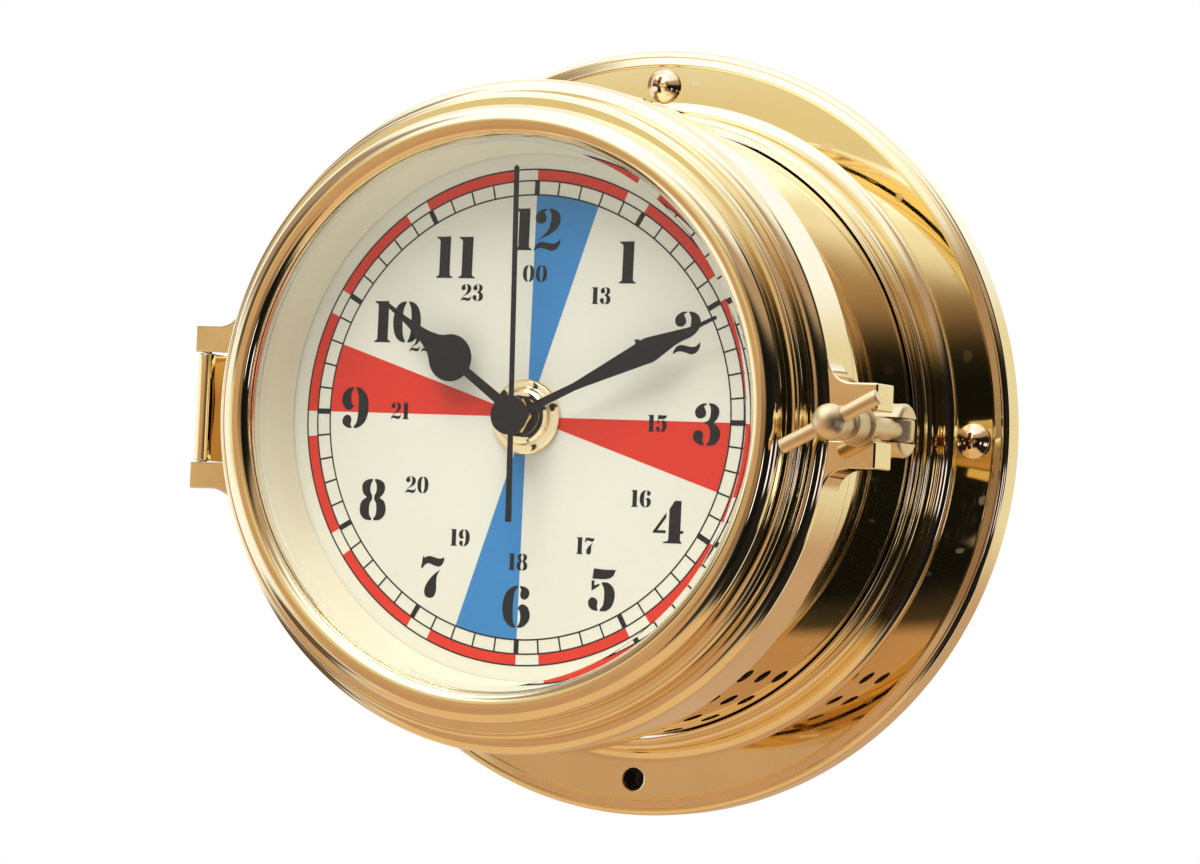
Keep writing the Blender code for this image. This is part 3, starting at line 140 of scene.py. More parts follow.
def turned_to(points, angle):
    """Turn (across, along) points so that along aims at a clock angle."""
    turn = math.radians(angle)
    sine, cosine = math.sin(turn), math.cos(turn)
    return [(x * cosine + z * sine, z * cosine - x * sine) for x, z in points]


def both_sides(right):
    """Close an outline with the mirror image of its right side."""
    return right + [(-x, z) for x, z in reversed(right)]


def mirrored(outline, across, along):
    """Mirror an outline where a sign is -1 and keep its direction."""
    points = [(x * across, z * along) for x, z in outline]
    if across * along < 0:
        points.reverse()
    return points


def inset(points, distance):
    """Move a closed outline inwards by a distance."""
    area = sum(a[0] * b[1] - b[0] * a[1] for a, b in zip(points, points[1:] + points[:1]))
    way = 1 if area > 0 else -1
    moved = []
    for index, point in enumerate(points):
        here = Vector(point)
        into = (here - Vector(points[index - 1])).normalized()
        out = (Vector(points[(index + 1) % len(points)]) - here).normalized()
        side = (into + out).normalized()
        normal = Vector((-side.y, side.x)) * way
        stretch = max(0.5, abs(normal.dot(Vector((-into.y, into.x)))))
        moved.append(tuple(here + normal * (distance / stretch)))
    return moved


# Node trees


def fill(tree, node, inputs):
    """Set a node's inputs to values, or link them to sockets."""
    for name, value in inputs.items():
        if isinstance(value, bpy.types.NodeSocket):
            tree.links.new(value, node.inputs[name])
        else:
            node.inputs[name].default_value = value


def add(tree, kind, inputs=None, **settings):
    """Add a node, with its settings and inputs, and return its outputs."""
    node = tree.nodes.new(kind)
    for name, value in settings.items():
        setattr(node, name, value)
    fill(tree, node, inputs or {})
    return node.outputs


def output(tree, kind, inputs=None, **settings):
    """Add a node and return its first output."""
    return add(tree, kind, inputs, **settings)[0]


def maths(tree, operation, *values):
    """Return the result of a calculation with one to three values."""
    return output(tree, "ShaderNodeMath", dict(enumerate(values)), operation=operation)


def new_tree(name, kind, inputs, outputs):
    """Start a node group with (name, socket kind, value) inputs and (name, socket kind) outputs."""
    tree = bpy.data.node_groups.new(name, kind + "NodeTree")
    for label, socket, value in inputs:
        made = tree.interface.new_socket(label, in_out="INPUT", socket_type="NodeSocket" + socket)
        if value is not None:
            made.default_value = value
    for label, socket in outputs:
        tree.interface.new_socket(label, in_out="OUTPUT", socket_type="NodeSocket" + socket)
    return tree, tree.nodes.new("NodeGroupInput").outputs, tree.nodes.new("NodeGroupOutput")


def close_tree(tree, shape, finish, end):
    """End a geometry tree in real geometry with its material."""
    real = output(tree, "GeometryNodeRealizeInstances", {"Geometry": shape})
    look = output(tree, "GeometryNodeSetMaterial", {"Geometry": real, "Material": finish})
    fill(tree, end, {"Geometry": look})


def lathe_tree():
    """Sweep an outline round the clock's axis. The outline's X is its distance from the ring radius."""
    inputs = [("Outline", "Geometry", None), ("Ring Radius", "Float", 0.05), ("Sides", "Int", AROUND)]
    inputs += [("Finish", "Material", None)]
    tree, start, end = new_tree("lathe", "Geometry", inputs, [("Geometry", "Geometry")])
    section = output(tree, "GeometryNodeMeshToCurve", {"Mesh": start["Outline"]})
    circle = {"Resolution": start["Sides"], "Radius": start["Ring Radius"]}
    ring = output(tree, "GeometryNodeCurvePrimitiveCircle", circle)
    swept = output(tree, "GeometryNodeCurveToMesh", {"Curve": ring, "Profile Curve": section})
    forward = {"Geometry": swept, "Rotation": (math.radians(-90), 0, 0)}
    stood = output(tree, "GeometryNodeTransform", forward)
    whole = output(tree, "GeometryNodeMergeByDistance", {"Geometry": stood, "Distance": 0.000001})
    close_tree(tree, whole, start["Finish"], end)
    return tree


def round_tree():
    """Repeat a part round the clock's axis in rows, each with columns along the axis."""
    inputs = [("Part", "Geometry", None), ("Count", "Int", 4), ("First Angle", "Float", 0.0)]
    inputs += [("Step Angle", "Float", 90.0), ("Columns", "Int", 1), ("Column Step", "Float", 0.0)]
    inputs += [("Finish", "Material", None)]
    tree, start, end = new_tree("repeat_round", "Geometry", inputs, [("Geometry", "Geometry")])
    number = output(tree, "GeometryNodeInputIndex")
    row = maths(tree, "FLOOR", maths(tree, "DIVIDE", number, start["Columns"]))
    column = maths(tree, "FLOORED_MODULO", number, start["Columns"])
    turn = maths(tree, "MULTIPLY_ADD", row, start["Step Angle"], start["First Angle"])
    back = maths(tree, "MULTIPLY", column, start["Column Step"])
    spot = output(tree, "ShaderNodeCombineXYZ", {"Y": maths(tree, "MULTIPLY", back, -1.0)})
    angle = output(tree, "ShaderNodeCombineXYZ", {"Y": maths(tree, "RADIANS", turn)})
    points = output(tree, "GeometryNodePoints", {"Count": start["Count"], "Position": spot})
    placed = {"Points": points, "Instance": start["Part"], "Rotation": angle}
    copies = output(tree, "GeometryNodeInstanceOnPoints", placed)
    close_tree(tree, copies, start["Finish"], end)
    return tree


# Building pieces


def new_object(name, data):
    """Put an object with some data into the scene."""
    made = bpy.data.objects.new(name, data)
    bpy.context.collection.objects.link(made)
    return made


def plain_mesh(name, mesh):
    """Turn a bmesh into a mesh and use it up."""
    data = bpy.data.meshes.new(name)
    mesh.to_mesh(data)
    mesh.free()
    return data


def meshed(name, mesh, finish):
    """Turn a bmesh into an object with a finish."""
    data = plain_mesh(name, mesh)
    data.materials.append(finish)
    return new_object(name, data)


def solid(name, mesh, finish):
    """Turn a bmesh into an object with a finish and every face outwards."""
    bmesh.ops.recalc_face_normals(mesh, faces=mesh.faces)
    return meshed(name, mesh, finish)


def stack(mesh, rows):
    """Join rows of points by walls, close them at both ends and return the two ends."""
    for lower, upper in zip(rows, rows[1:]):
        for index in range(len(lower)):
            after = (index + 1) % len(lower)
            mesh.faces.new((lower[index], lower[after], upper[after], upper[index]))
    return mesh.faces.new(rows[0]), mesh.faces.new(rows[-1])


def settled(thing):
    """Return a thing's evaluated shape as a plain mesh and clear its modifiers."""
    graph = bpy.context.evaluated_depsgraph_get()
    shape = bpy.data.meshes.new_from_object(thing.evaluated_get(graph))
    thing.modifiers.clear()
    return shape


def settle(thing):
    """Give a thing its evaluated shape under the old name."""
    name = thing.data.name
    thing.data = settled(thing)
    thing.data.name = name


def shaped(name, mesh, tree, inputs):
    """Run a mesh through a geometry tree and return the result as a plain object."""
    source = new_object(name, mesh)
    modifier = source.modifiers.new("shape", "NODES")
    modifier.node_group = tree
    for item in tree.interface.items_tree:
        if item.in_out == "INPUT" and item.name in inputs:
            modifier[item.identifier] = inputs[item.name]
    shape = settled(source)
    bpy.data.objects.remove(source, do_unlink=True)
    shape.name = name
    return new_object(name, shape)


def face_out(thing):
    """Merge doubles and make every face point outwards."""
    mesh = bmesh.new()
    mesh.from_mesh(thing.data)
    bmesh.ops.remove_doubles(mesh, verts=mesh.verts, dist=0.0000005)
    bmesh.ops.recalc_face_normals(mesh, faces=mesh.faces)
    mesh.to_mesh(thing.data)
    mesh.free()
    return thing


def turned(name, outline, finish, sides=AROUND, place=None):
    """Turn a (radius, depth) outline about the clock's axis, or put it where a matrix says."""
    ring = max(radius for radius, depth in outline)
    mesh = bmesh.new()
    points = [mesh.verts.new(((radius - ring) * MM, depth * MM, 0)) for radius, depth in outline]
    for pair in zip(points, points[1:]):
        mesh.edges.new(pair)
    if min(radius for radius, depth in outline) > 0:
        mesh.edges.new((points[-1], points[0]))
    inputs = {"Ring Radius": ring * MM, "Sides": sides, "Finish": finish}
    made = face_out(shaped(name, plain_mesh(name, mesh), LATHE, inputs))
    if place is not None:
        made.data.transform(place)
    return made


def repeated(name, part, finish, count, first, step, columns=1, column_step=0.0):
    """Repeat an object round the clock's axis and return one object."""
    inputs = {"Count": count, "First Angle": float(first), "Step Angle": float(step), "Finish": finish}
    inputs |= {"Columns": columns, "Column Step": column_step * MM}
    made = shaped(name, part.data.copy(), ROUND, inputs)
    bpy.data.objects.remove(part, do_unlink=True)
    return made


def slab(name, outline, low, high, finish, edge=0.0, upright=False):
    """Extrude an (x, z) outline between two depths with rounded edges.

    Upright takes an (x, depth) outline and extrudes it between two heights.
    """
    levels = [(low, 0.0), (high, 0.0)]
    if edge:
        turns = [math.radians(30 * step) for step in range(4)]
        start = [(low + edge * (1 - math.cos(a)), edge * (1 - math.sin(a))) for a in turns]
        finish_rows = [(high - (level - low), shrink) for level, shrink in reversed(start)]
        hold = min(SUPPORT, (high - low - 2 * edge) * 0.3)
        levels = start + [(low + edge + hold, 0.0), (high - edge - hold, 0.0)] + finish_rows
    mesh = bmesh.new()
    rows = []
    for level, shrink in levels:
        ring = inset(outline, shrink) if shrink else outline
        places = [(a, -b, level) if upright else (a, -level, b) for a, b in ring]
        rows.append([mesh.verts.new((x * MM, y * MM, z * MM)) for x, y, z in places])
    for face in stack(mesh, rows):
        for line in face.edges:
            line.smooth = False
    return solid(name, mesh, finish)


def carved(thing, tool, operation="DIFFERENCE"):
    """Cut a tool out of a thing, or join it, and use the tool up."""
    modifier = thing.modifiers.new("carve", "BOOLEAN")
    modifier.operation = operation
    modifier.solver = "EXACT"
    modifier.object = tool
    settle(thing)
    bpy.data.objects.remove(tool, do_unlink=True)
    return thing


def merged(name, things):
    """Put several objects' meshes into one object."""
    mesh = bmesh.new()
    for thing in things:
        mesh.from_mesh(thing.data)
    made = meshed(name, mesh, things[0].data.materials[0])
    for thing in things:
        bpy.data.objects.remove(thing, do_unlink=True)
    return made


def between(start, end):
    """Return the length between two (x, depth, z) points, and the matrix that puts a turned piece there."""
    first, last = (Vector((x, -depth, z)) * MM for x, depth, z in (start, end))
    run = last - first
    place = Matrix.Translation(first) @ Vector((0, -1, 0)).rotation_difference(run).to_matrix().to_4x4()
    return run.length / MM, place


def drill(name, radius, start, end, finish, sides=32):
    """A plain round rod between two (x, depth, z) points, with closed ends."""
    length, place = between(start, end)
    return turned(name, [(0, 0), (radius, 0), (radius, length), (0, length)], finish, sides, place)


def rod(name, radius, start, end, finish, edge, sides=32):
    """A round rod with rounded ends between two (x, depth, z) points."""
    length, place = between(start, end)
    corners = [(0, 0), (radius, 0, edge), (radius, length, edge), (0, length)]
    return turned(name, rounded(corners, closed=False), finish, sides, place)


def upright_ends(axis, reach):
    """Return the ends of an upright rod on an (x, depth) axis, as far above the middle as below."""
    return (*axis, -reach), (*axis, reach)


def hand_over(thing, body, slot, *nodes):
    """Shade a finished piece smooth, keep its flats flat and give it to the frame."""
    thing.data.shade_smooth()
    thing.data.set_sharp_from_angle(angle=math.radians(FLAT_ANGLE))
    modifier = thing.modifiers.new("flats", "WEIGHTED_NORMAL")
    modifier.keep_sharp = True
    modifier.weight = 80
    settle(thing)
    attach(thing, body)
    if nodes:
        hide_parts(*nodes)


# Finishes


def noise(tree, vector, scale, detail, roughness, distortion=0.0):
    """Return the value of a noise texture."""
    inputs = {"Vector": vector, "Scale": scale, "Detail": detail, "Roughness": roughness}
    return output(tree, "ShaderNodeTexNoise", inputs | {"Distortion": distortion})


def ranged(tree, value, low=0.0, high=1.0, start=0.0, end=1.0, **settings):
    """Return a value spread from low, where it is at start, to high, where it is at end."""
    inputs = {"Value": value, "From Min": start, "From Max": end, "To Min": low, "To Max": high}
    return output(tree, "ShaderNodeMapRange", inputs, **settings)


def bumped(tree, height, strength, distance, normal=None):
    """Return a normal that follows a height, on top of another normal if there is one."""
    inputs = {"Height": height, "Strength": strength, "Distance": distance}
    if normal is not None:
        inputs["Normal"] = normal
    return output(tree, "ShaderNodeBump", inputs)


def mixed(tree, factor, first, second):
    """Return a mix of two colours."""
    node = tree.nodes.new("ShaderNodeMix")
    node.data_type = "RGBA"
    for socket, value in ((0, factor), (6, first), (7, second)):
        if socket and not isinstance(value, bpy.types.NodeSocket):
            value = (*value, 1.0)
        fill(tree, node, {socket: value})
    return node.outputs[2]


def turning_marks_group():
    """Fine rings that a lathe and a polishing mop leave round the clock's axis."""
    inputs = [("Vector", "Vector", None), ("Lines Per Metre", "Float", 2500.0)]
    tree, start, end = new_tree("turning_marks", "Shader", inputs, [("Height", "Float")])
    x, y, z = add(tree, "ShaderNodeSeparateXYZ", {0: start["Vector"]})
    flat = output(tree, "ShaderNodeCombineXYZ", {"X": x, "Y": z})
    radius = add(tree, "ShaderNodeVectorMath", {0: flat}, operation="LENGTH")["Value"]
    across = output(tree, "ShaderNodeCombineXYZ", {"X": radius, "Y": y})
    fill(tree, end, {"Height": noise(tree, across, start["Lines Per Metre"], 2.0, 0.6)})
    return tree


def handling_group():
    """Soft smudges of fingers and polish, with sparse hairline scratches."""
    inputs = [("Vector", "Vector", None), ("Smudge Scale", "Float", 45.0), ("Scratch Scale", "Float", 160.0)]
    outputs = [("Smudge", "Float"), ("Scratch", "Float")]
    tree, start, end = new_tree("handling_marks", "Shader", inputs, outputs)
    cloud = noise(tree, start["Vector"], start["Smudge Scale"], 5.0, 0.55, 0.6)
    hairs = []
    for turn, stretch in (((0.4, 0.2, 0.9), (1.0, 30.0, 1.0)), ((1.1, 0.7, -0.5), (1.0, 24.0, 1.4))):
        laid = {"Vector": start["Vector"], "Rotation": turn, "Scale": stretch}
        hair = noise(tree, output(tree, "ShaderNodeMapping", laid), start["Scratch Scale"], 1.0, 0.4)
        hairs.append(ranged(tree, hair, start=0.7, end=0.76))
    fill(tree, end, {"Smudge": ranged(tree, cloud, start=0.42, end=0.74)})
    fill(tree, end, {"Scratch": maths(tree, "MAXIMUM", *hairs)})
    return tree


def grain_group():
    """Even grain of moulded, sprayed or cast surfaces, with slow changes of tone."""
    inputs = [("Vector", "Vector", None), ("Grain Scale", "Float", 1500.0), ("Tone Scale", "Float", 60.0)]
    tree, start, end = new_tree("surface_grain", "Shader", inputs, [("Height", "Float"), ("Tone", "Float")])
    grain = noise(tree, start["Vector"], start["Grain Scale"], 3.0, 0.65)
    tone = noise(tree, start["Vector"], start["Tone Scale"], 4.0, 0.6)
    fill(tree, end, {"Height": grain, "Tone": tone})
    return tree


def new_finish(name):
    """Start a material and return it with its tree, its shader and its Object coordinates."""
    made = bpy.data.materials.new(name)
    made.use_nodes = True
    tree = made.node_tree
    return made, tree, tree.nodes["Principled BSDF"], add(tree, "ShaderNodeTexCoord")["Object"]


def use_group(tree, group, inputs, label=""):
    """Use a node group and return its outputs."""
    node = tree.nodes.new("ShaderNodeGroup")
    node.node_tree = group
    node.label = label
    fill(tree, node, inputs)
    return node.outputs


def brass_finish(name, light, deep, low, high, marks=0.1):
    """Brass with smudges, hairlines, turning marks and the slight waviness that a mop leaves."""
    waviness, mark_depth = 0.000004, 0.0000005
    made, tree, shader, spot = new_finish(name)
    wear = use_group(tree, HANDLING, {"Vector": spot})
    rings = use_group(tree, TURNING, {"Vector": spot})
    grain = use_group(tree, GRAIN, {"Vector": spot, "Grain Scale": 90.0, "Tone Scale": 22.0})
    colour = mixed(tree, grain["Tone"], light, deep)
    dull = tuple(part * 0.82 for part in deep)
    rough = ranged(tree, wear["Smudge"], low, high)
    wave = bumped(tree, grain["Height"], 1.0, waviness)
    looks = {
        "Base Color": mixed(tree, ranged(tree, wear["Smudge"], 0.0, 0.35), colour, dull),
        "Roughness": maths(tree, "MULTIPLY_ADD", wear["Scratch"], 0.12, rough),
        "Metallic": 1.0,
        "Normal": bumped(tree, rings["Height"], marks, mark_depth, wave),
        "Coat Weight": 0.15,
        "Coat Roughness": 0.03,
    }
    fill(tree, shader, looks)
    return made


def grained_finish(name, light, deep, low, high, grain_scale, bump, metallic=0.0, specular=0.5):
    """Moulded, painted, printed or plated surface with fine grain and uneven tone. The bump is in mm."""
    made, tree, shader, spot = new_finish(name)
    wear = use_group(tree, HANDLING, {"Vector": spot, "Smudge Scale": 60.0})
    grain = use_group(tree, GRAIN, {"Vector": spot, "Grain Scale": grain_scale, "Tone Scale": 70.0})
    looks = {
        "Base Color": mixed(tree, grain["Tone"], light, deep),
        "Roughness": ranged(tree, wear["Smudge"], low, high),
        "Metallic": metallic,
        "Specular IOR Level": specular,
        "Normal": bumped(tree, grain["Height"], 0.5, bump * MM),
    }
    fill(tree, shader, looks)
    return made


def ink_finish(name, light, deep, low, high, specular):
    """Flat printing ink."""
    return grained_finish(name, light, deep, low, high, 2400.0, 0.01, specular=specular)


def glass_finish():
    """Clear plate glass with faint smears. Light reaches the dial through it."""
    made, tree, shader, spot = new_finish("clear_plate_glass")
    wear = use_group(tree, HANDLING, {"Vector": spot, "Smudge Scale": 30.0})
    looks = {
        "Base Color": (0.985, 0.995, 0.99, 1.0),
        "Roughness": ranged(tree, wear["Smudge"], 0.0, 0.02),
        "IOR": 1.35,
        "Transmission Weight": 1.0,
    }
    fill(tree, shader, looks)
    clear = output(tree, "ShaderNodeBsdfTransparent", {"Color": (0.97, 0.98, 0.975, 1.0)})
    path = add(tree, "ShaderNodeLightPath")
    soft = maths(tree, "MAXIMUM", path["Is Shadow Ray"], path["Is Diffuse Ray"])
    both = output(tree, "ShaderNodeMixShader", {0: soft, 1: shader.outputs[0], 2: clear})
    fill(tree, tree.nodes["Material Output"], {"Surface": both})
    return made


def wound_finish():
    """Enamelled copper wire, wound side by side along X."""
    made, tree, shader, spot = new_finish("wound_copper_wire")
    coil = {"Vector": spot, "Scale": 900.0, "Distortion": 0.4, "Detail": 1.0}
    turns = add(tree, "ShaderNodeTexWave", coil, bands_direction="X")["Fac"]
    tone = use_group(tree, GRAIN, {"Vector": spot})["Tone"]
    wire = mixed(tree, turns, (0.34, 0.12, 0.05), (0.80, 0.36, 0.17))
    looks = {
        "Base Color": mixed(tree, ranged(tree, tone, 0.0, 0.4), wire, (0.5, 0.2, 0.1)),
        "Metallic": 1.0,
        "Roughness": ranged(tree, tone, 0.25, 0.45),
        "Normal": bumped(tree, turns, 0.8, 0.0001),
    }
    fill(tree, shader, looks)
    return made


def battery_finish():
    """Plain shrink wrap with a lighter band towards the nub."""
    made, tree, shader, spot = new_finish("battery_shrink_wrap")
    along = output(tree, "ShaderNodeSeparateXYZ", {0: spot})
    band = ranged(tree, along, start=0.0098, end=0.0102)
    metal = ranged(tree, along, start=0.0238, end=0.0240)
    grain = use_group(tree, GRAIN, {"Vector": spot, "Grain Scale": 700.0})
    wrap = mixed(tree, band, (0.016, 0.017, 0.02), (0.62, 0.43, 0.16))
    looks = {
        "Base Color": mixed(tree, metal, wrap, (0.62, 0.62, 0.6)),
        "Metallic": metal,
        "Roughness": ranged(tree, grain["Tone"], 0.22, 0.42),
        "Normal": bumped(tree, grain["Height"], 0.3, 0.00003),
    }
    fill(tree, shader, looks)
    return made


def screen_finish():
    """Black woven gauze behind the vent holes."""
    made, tree, shader, spot = new_finish("black_gauze")
    x, y, z = add(tree, "ShaderNodeSeparateXYZ", {0: spot})
    angle = maths(tree, "ARCTAN2", x, z)
    threads = [
        maths(tree, "SINE", maths(tree, "MULTIPLY", value, scale))
        for value, scale in ((angle, 700.0), (y, 10000.0))
    ]
    weave = maths(tree, "MAXIMUM", *threads)
    shown = ranged(tree, weave, start=-0.4)
    looks = {
        "Base Color": mixed(tree, shown, (0.003, 0.003, 0.003), (0.03, 0.03, 0.03)),
        "Roughness": ranged(tree, shown, 0.9, 0.6),
        "Normal": bumped(tree, weave, 0.6, 0.00008),
    }
    fill(tree, shader, looks)
    return made


# Flange, drum and screws


def build_flange():
    """Cast flange with a rounded rim, a raised strip inside it and a coved, stepped foot."""
    corners = [
        (72.0, 0.0, 0.2), (90.0, 0.0, 0.5), (90.0, 7.3, 1.5), (88.5, 7.3, 0.1), (88.3, 7.0, 0.08),
        (86.6, 7.3, 0.5), (86.2, 7.0, 0.3), (74.6, 7.0, 3.0), (74.6, 16.1, 1.3), (72.95, 16.1, 0.15),
        (72.9, 20.6, 0.8), (72.0, 20.6, 0.15),
    ]
    flange = turned("flange_casting", rounded(corners), BRASS)
    hole = [(0, -1), (2.5, -1), (2.5, 6.4), (2.75, 6.85), (3.4, 7.15), (4.2, 7.6), (4.2, 9), (0, 9)]
    bit = turned("hole_bit", hole, BRASS, 48, Matrix.Translation((0, 0, SCREW_CIRCLE * MM)))
    carved(flange, repeated("hole_bits", bit, BRASS, 4, 0, 90))
    hand_over(flange, "clock", "lacquered_brass", "mounting_flange")


def cross_tool(centre_z, floor, top):
    """Tapered four-winged tool that cuts a cross recess."""
    wings = [
        (0.42, 0.42), (2.3, 0.5), (2.3, -0.5), (0.42, -0.42), (0.5, -2.3), (-0.5, -2.3),
        (-0.42, -0.42), (-2.3, -0.5), (-2.3, 0.5), (-0.42, 0.42), (-0.5, 2.3), (0.5, 2.3),
    ]
    mesh = bmesh.new()
    rows = []
    for depth, size in ((floor, 0.35), (floor + 0.5, 0.6), (top, 1.15)):
        places = [(x * size * MM, -depth * MM, (centre_z + z * size) * MM) for x, z in wings]
        rows.append([mesh.verts.new(place) for place in places])
    stack(mesh, rows)
    return solid("cross_recess", mesh, FITTING)


def build_screws():
    """Domed cross-head wood screws at 9, 12 and 3 o'clock."""
    head = arc((0, 5.86), 4.14, 90, 40, 9)
    head += [(3.75, 8.15), (4.0, 7.85), (4.1, 7.6), (4.1, 7.4), (4.0, 7.3)]
    shank = [(2.1, 7.3), (2.1, -4.7), (1.2, -7.2), (0.25, -8.6), (0, -8.7)]
    screw = turned("screw_blank", head + shank, FITTING, 48, Matrix.Translation((0, 0, SCREW_CIRCLE * MM)))
    carved(screw, cross_tool(SCREW_CIRCLE, 8.3, 10.6))
    screws = repeated("mounting_screws", screw, FITTING, 3, -90, 90)
    nodes = ("mounting_screw_top", "mounting_screw_right", "mounting_screw_left")
    hand_over(screws, "clock", "lacquered_brass", *nodes)


def build_drum():
    """Turned drum with its shoulder and spigot, and three columns of vent holes below."""
    corners = [
        (DRUM_RADIUS, 0.6, 0.1), (DRUM_RADIUS, 61.7, 0.4), (63.9, 61.7, 0.3), (63.9, 78.8, 0.4),
        (62.4, 78.8, 0.3), (62.4, 70.0, 0.1), (58.5, 70.0, 0.2), (58.5, 68.3, 0.2), (62.2, 68.3, 0.1),
        (62.2, 60.0, 0.2), (70.0, 60.0, 0.4), (70.0, 0.6, 0.1),
    ]
    drum = turned("drum_shell", rounded(corners), BRASS, AROUND * 2)
    bit = drill("vent_bit", VENT_RADIUS, (0, VENT_DEPTH, 68.0), (0, VENT_DEPTH, 74.0), BRASS)
    step = math.degrees(VENT_PITCH / DRUM_RADIUS)
    first = 180 - (VENT_ROWS - 1) / 2 * step
    count = VENT_ROWS * VENT_COLUMNS
    carved(drum, repeated("vent_bits", bit, BRASS, count, first, step, VENT_COLUMNS, VENT_PITCH))
    hand_over(drum, "clock", "lacquered_brass", "case_drum")


# Bezel, glass and hinge


def lug_outline(reach, low, high, fillet):
    """Outline of a lug that leaves the ring sideways, with a fillet along its outer edge."""
    end = SKIRT_RADIUS + reach
    centre = (math.sqrt((SKIRT_RADIUS + fillet) ** 2 - (high + fillet) ** 2), high + fillet)
    touch = math.degrees(math.atan2(centre[1], centre[0]))
    inside = SKIRT_RADIUS - 2.0
    root = math.sqrt(inside**2 - low**2)
    points = rounded([(root, low), (end, low, 0.5), (end, high, 0.5), (centre[0], high)], closed=False)
    points += arc(centre, fillet, 270, 180 + touch, 14)[1:]
    return points + arc((0, 0), inside, touch, math.degrees(math.asin(low / inside)), 4)[:-1]


def build_bezel():
    """Hinged ring with its round band, steps and skirt, two hinge ears and the clamp's fork."""
    corners = [
        (61.3, 87.4, 0.1), (61.3, 90.9, 3.55), (68.4, 90.9, 3.55), (68.4, 85.35, 0.12), (70.5, 85.45, 0.35),
        (70.7, 84.85, 0.1), (71.7, 84.85, 0.9), (71.65, 79.45, 0.15), (72.4, 79.5, 0.1), (75.3, 79.4, 2.9),
        (75.3, 62.2, 0.9), (72.0, 62.2, 0.3), (72.0, 76.6, 0.3), (70.1, 78.4, 0.3), (70.1, 80.12, 0.2),
        (67.7, 80.12, 0.2), (67.7, 83.22, 0.1), (65.3, 83.22, 0.1), (65.3, 84.6, 0.1),
    ]
    ring = turned("bezel_casting", rounded(corners), BRASS)
    ear = lug_outline(7.8, 12.6, 18.7, 5.0)
    arm = lug_outline(10.7, 3.3, 9.3, 6.0)
    for outline, across, along in ((ear, -1, 1), (ear, -1, -1), (arm, 1, 1), (arm, 1, -1)):
        lug = slab("lug", mirrored(outline, across, along), LUG_BACK, LUG_FRONT, BRASS, 0.45)
        carved(ring, lug, "UNION")
    carved(ring, drill("pin_bit", PIN_BORE, *upright_ends(HINGE_AXIS, 20), BRASS))
    hand_over(ring, "bezel", "lacquered_brass", "bezel_ring")


def build_glass():
    """Bevelled glass between its rubber bed and the ring that keeps it."""
    pane = [(0, 83.22), (65.0, 83.22, 0.15), (65.0, 84.32, 0.15), (60.0, 87.82, 0.2), (0, 87.82)]
    glass = turned("bevelled_glass", rounded(pane, closed=False), GLASS)
    hand_over(glass, "bezel", "clear_glass", "glass")
    bed = [(63.2, 82.12, 0.2), (67.4, 82.12, 0.2), (67.4, 82.92, 0.2), (63.2, 82.92, 0.2)]
    hand_over(turned("glass_bed", rounded(bed), RUBBER), "bezel", "black_rubber", "glass_gasket")
    keeper = [(63.2, 80.42, 0.3), (67.4, 80.42, 0.2), (67.4, 81.82, 0.2), (63.2, 81.82, 0.3)]
    ring = turned("glass_keeper", rounded(keeper), DULL_BRASS)
    hand_over(ring, "bezel", "lacquered_brass", "glass_retaining_ring")


def build_hinge():
    """Knuckle and arm on the drum in one piece, and the pin through the bezel's ears."""
    x, depth = HINGE_AXIS
    knuckle, arm = 2.0, 2.4
    outer = x - knuckle
    inner = outer + arm
    outline = [(outer, depth - 3.0)] + arc(HINGE_AXIS, knuckle, 180, 0, 16)[:-2]
    outline += arc(HINGE_AXIS, knuckle, -11, -36, 3)
    front = [(inner, depth - 1.5, 0.2), (inner, 61.3, 0.8), (-67.7, 61.3), (-67.7, 50.3)]
    back = [(-70.0, 50.3), (outer + 2.6, 50.3, 1.2), (outer, 53.0, 1.2), (outer, 60.0)]
    outline += rounded(front, closed=False)[1:] + rounded(back, closed=False)
    bracket = slab("hinge_knuckle", outline, -12.3, 12.3, BRASS, 0.25, upright=True)
    carved(bracket, turned("hinge_seat", oblong(0, 47.0, 72.0, 64.0), BRASS))
    carved(bracket, drill("knuckle_bit", PIN_BORE, *upright_ends(HINGE_AXIS, 14), BRASS))
    hand_over(bracket, "clock", "lacquered_brass", "hinge_bracket")
    pin = rod("hinge_spindle", PIN_RADIUS, *upright_ends(HINGE_AXIS, 18.7), STEEL, 0.25)
    hand_over(pin, "clock", "steel", "hinge_pin")


# Clamp


def build_swing_bolt():
    """Slotted round boss, its pin and the eye bolt that swings on it."""
    pivot = (BOLT_X, PIVOT_DEPTH)
    sideways = Matrix.Translation((0, -PIVOT_DEPTH * MM, 0)) @ Matrix.Rotation(math.radians(90), 4, "Z")
    corners = [(0, 68.7), (6.0, 68.7), (6.0, 84.7, 1.2), (0, 84.7)]
    boss = turned("clamp_boss", rounded(corners, closed=False), SATIN_BRASS, 64, sideways)
    carved(boss, turned("boss_seat", oblong(0, 45.0, 72.0, 65.0), SATIN_BRASS))
    carved(boss, slab("boss_gap", oblong(77.2, 45.0, 90.0, 65.0), -2.8, 2.8, SATIN_BRASS, upright=True))
    carved(boss, drill("boss_bit", PIN_BORE, *upright_ends(pivot, 9), SATIN_BRASS))
    hand_over(boss, "clock", "lacquered_brass", "clamp_bracket")
    pin = rod("clamp_spindle", PIN_RADIUS, *upright_ends(pivot, 5.4), STEEL, 0.25)
    hand_over(pin, "clock", "steel", "clamp_pin")

    eye = rod("bolt_eye", 3.6, *upright_ends(pivot, 2.5), SATIN_BRASS, 0.5, 48)
    shank = rod("bolt_shank", 2.4, (BOLT_X, PIVOT_DEPTH + 1, 0), (BOLT_X, 89.3, 0), SATIN_BRASS, 0.4)
    carved(eye, shank, "UNION")
    carved(eye, drill("eye_bit", PIN_BORE, *upright_ends(pivot, 9), SATIN_BRASS))
    hand_over(eye, "bolt", "lacquered_brass", "swing_bolt")


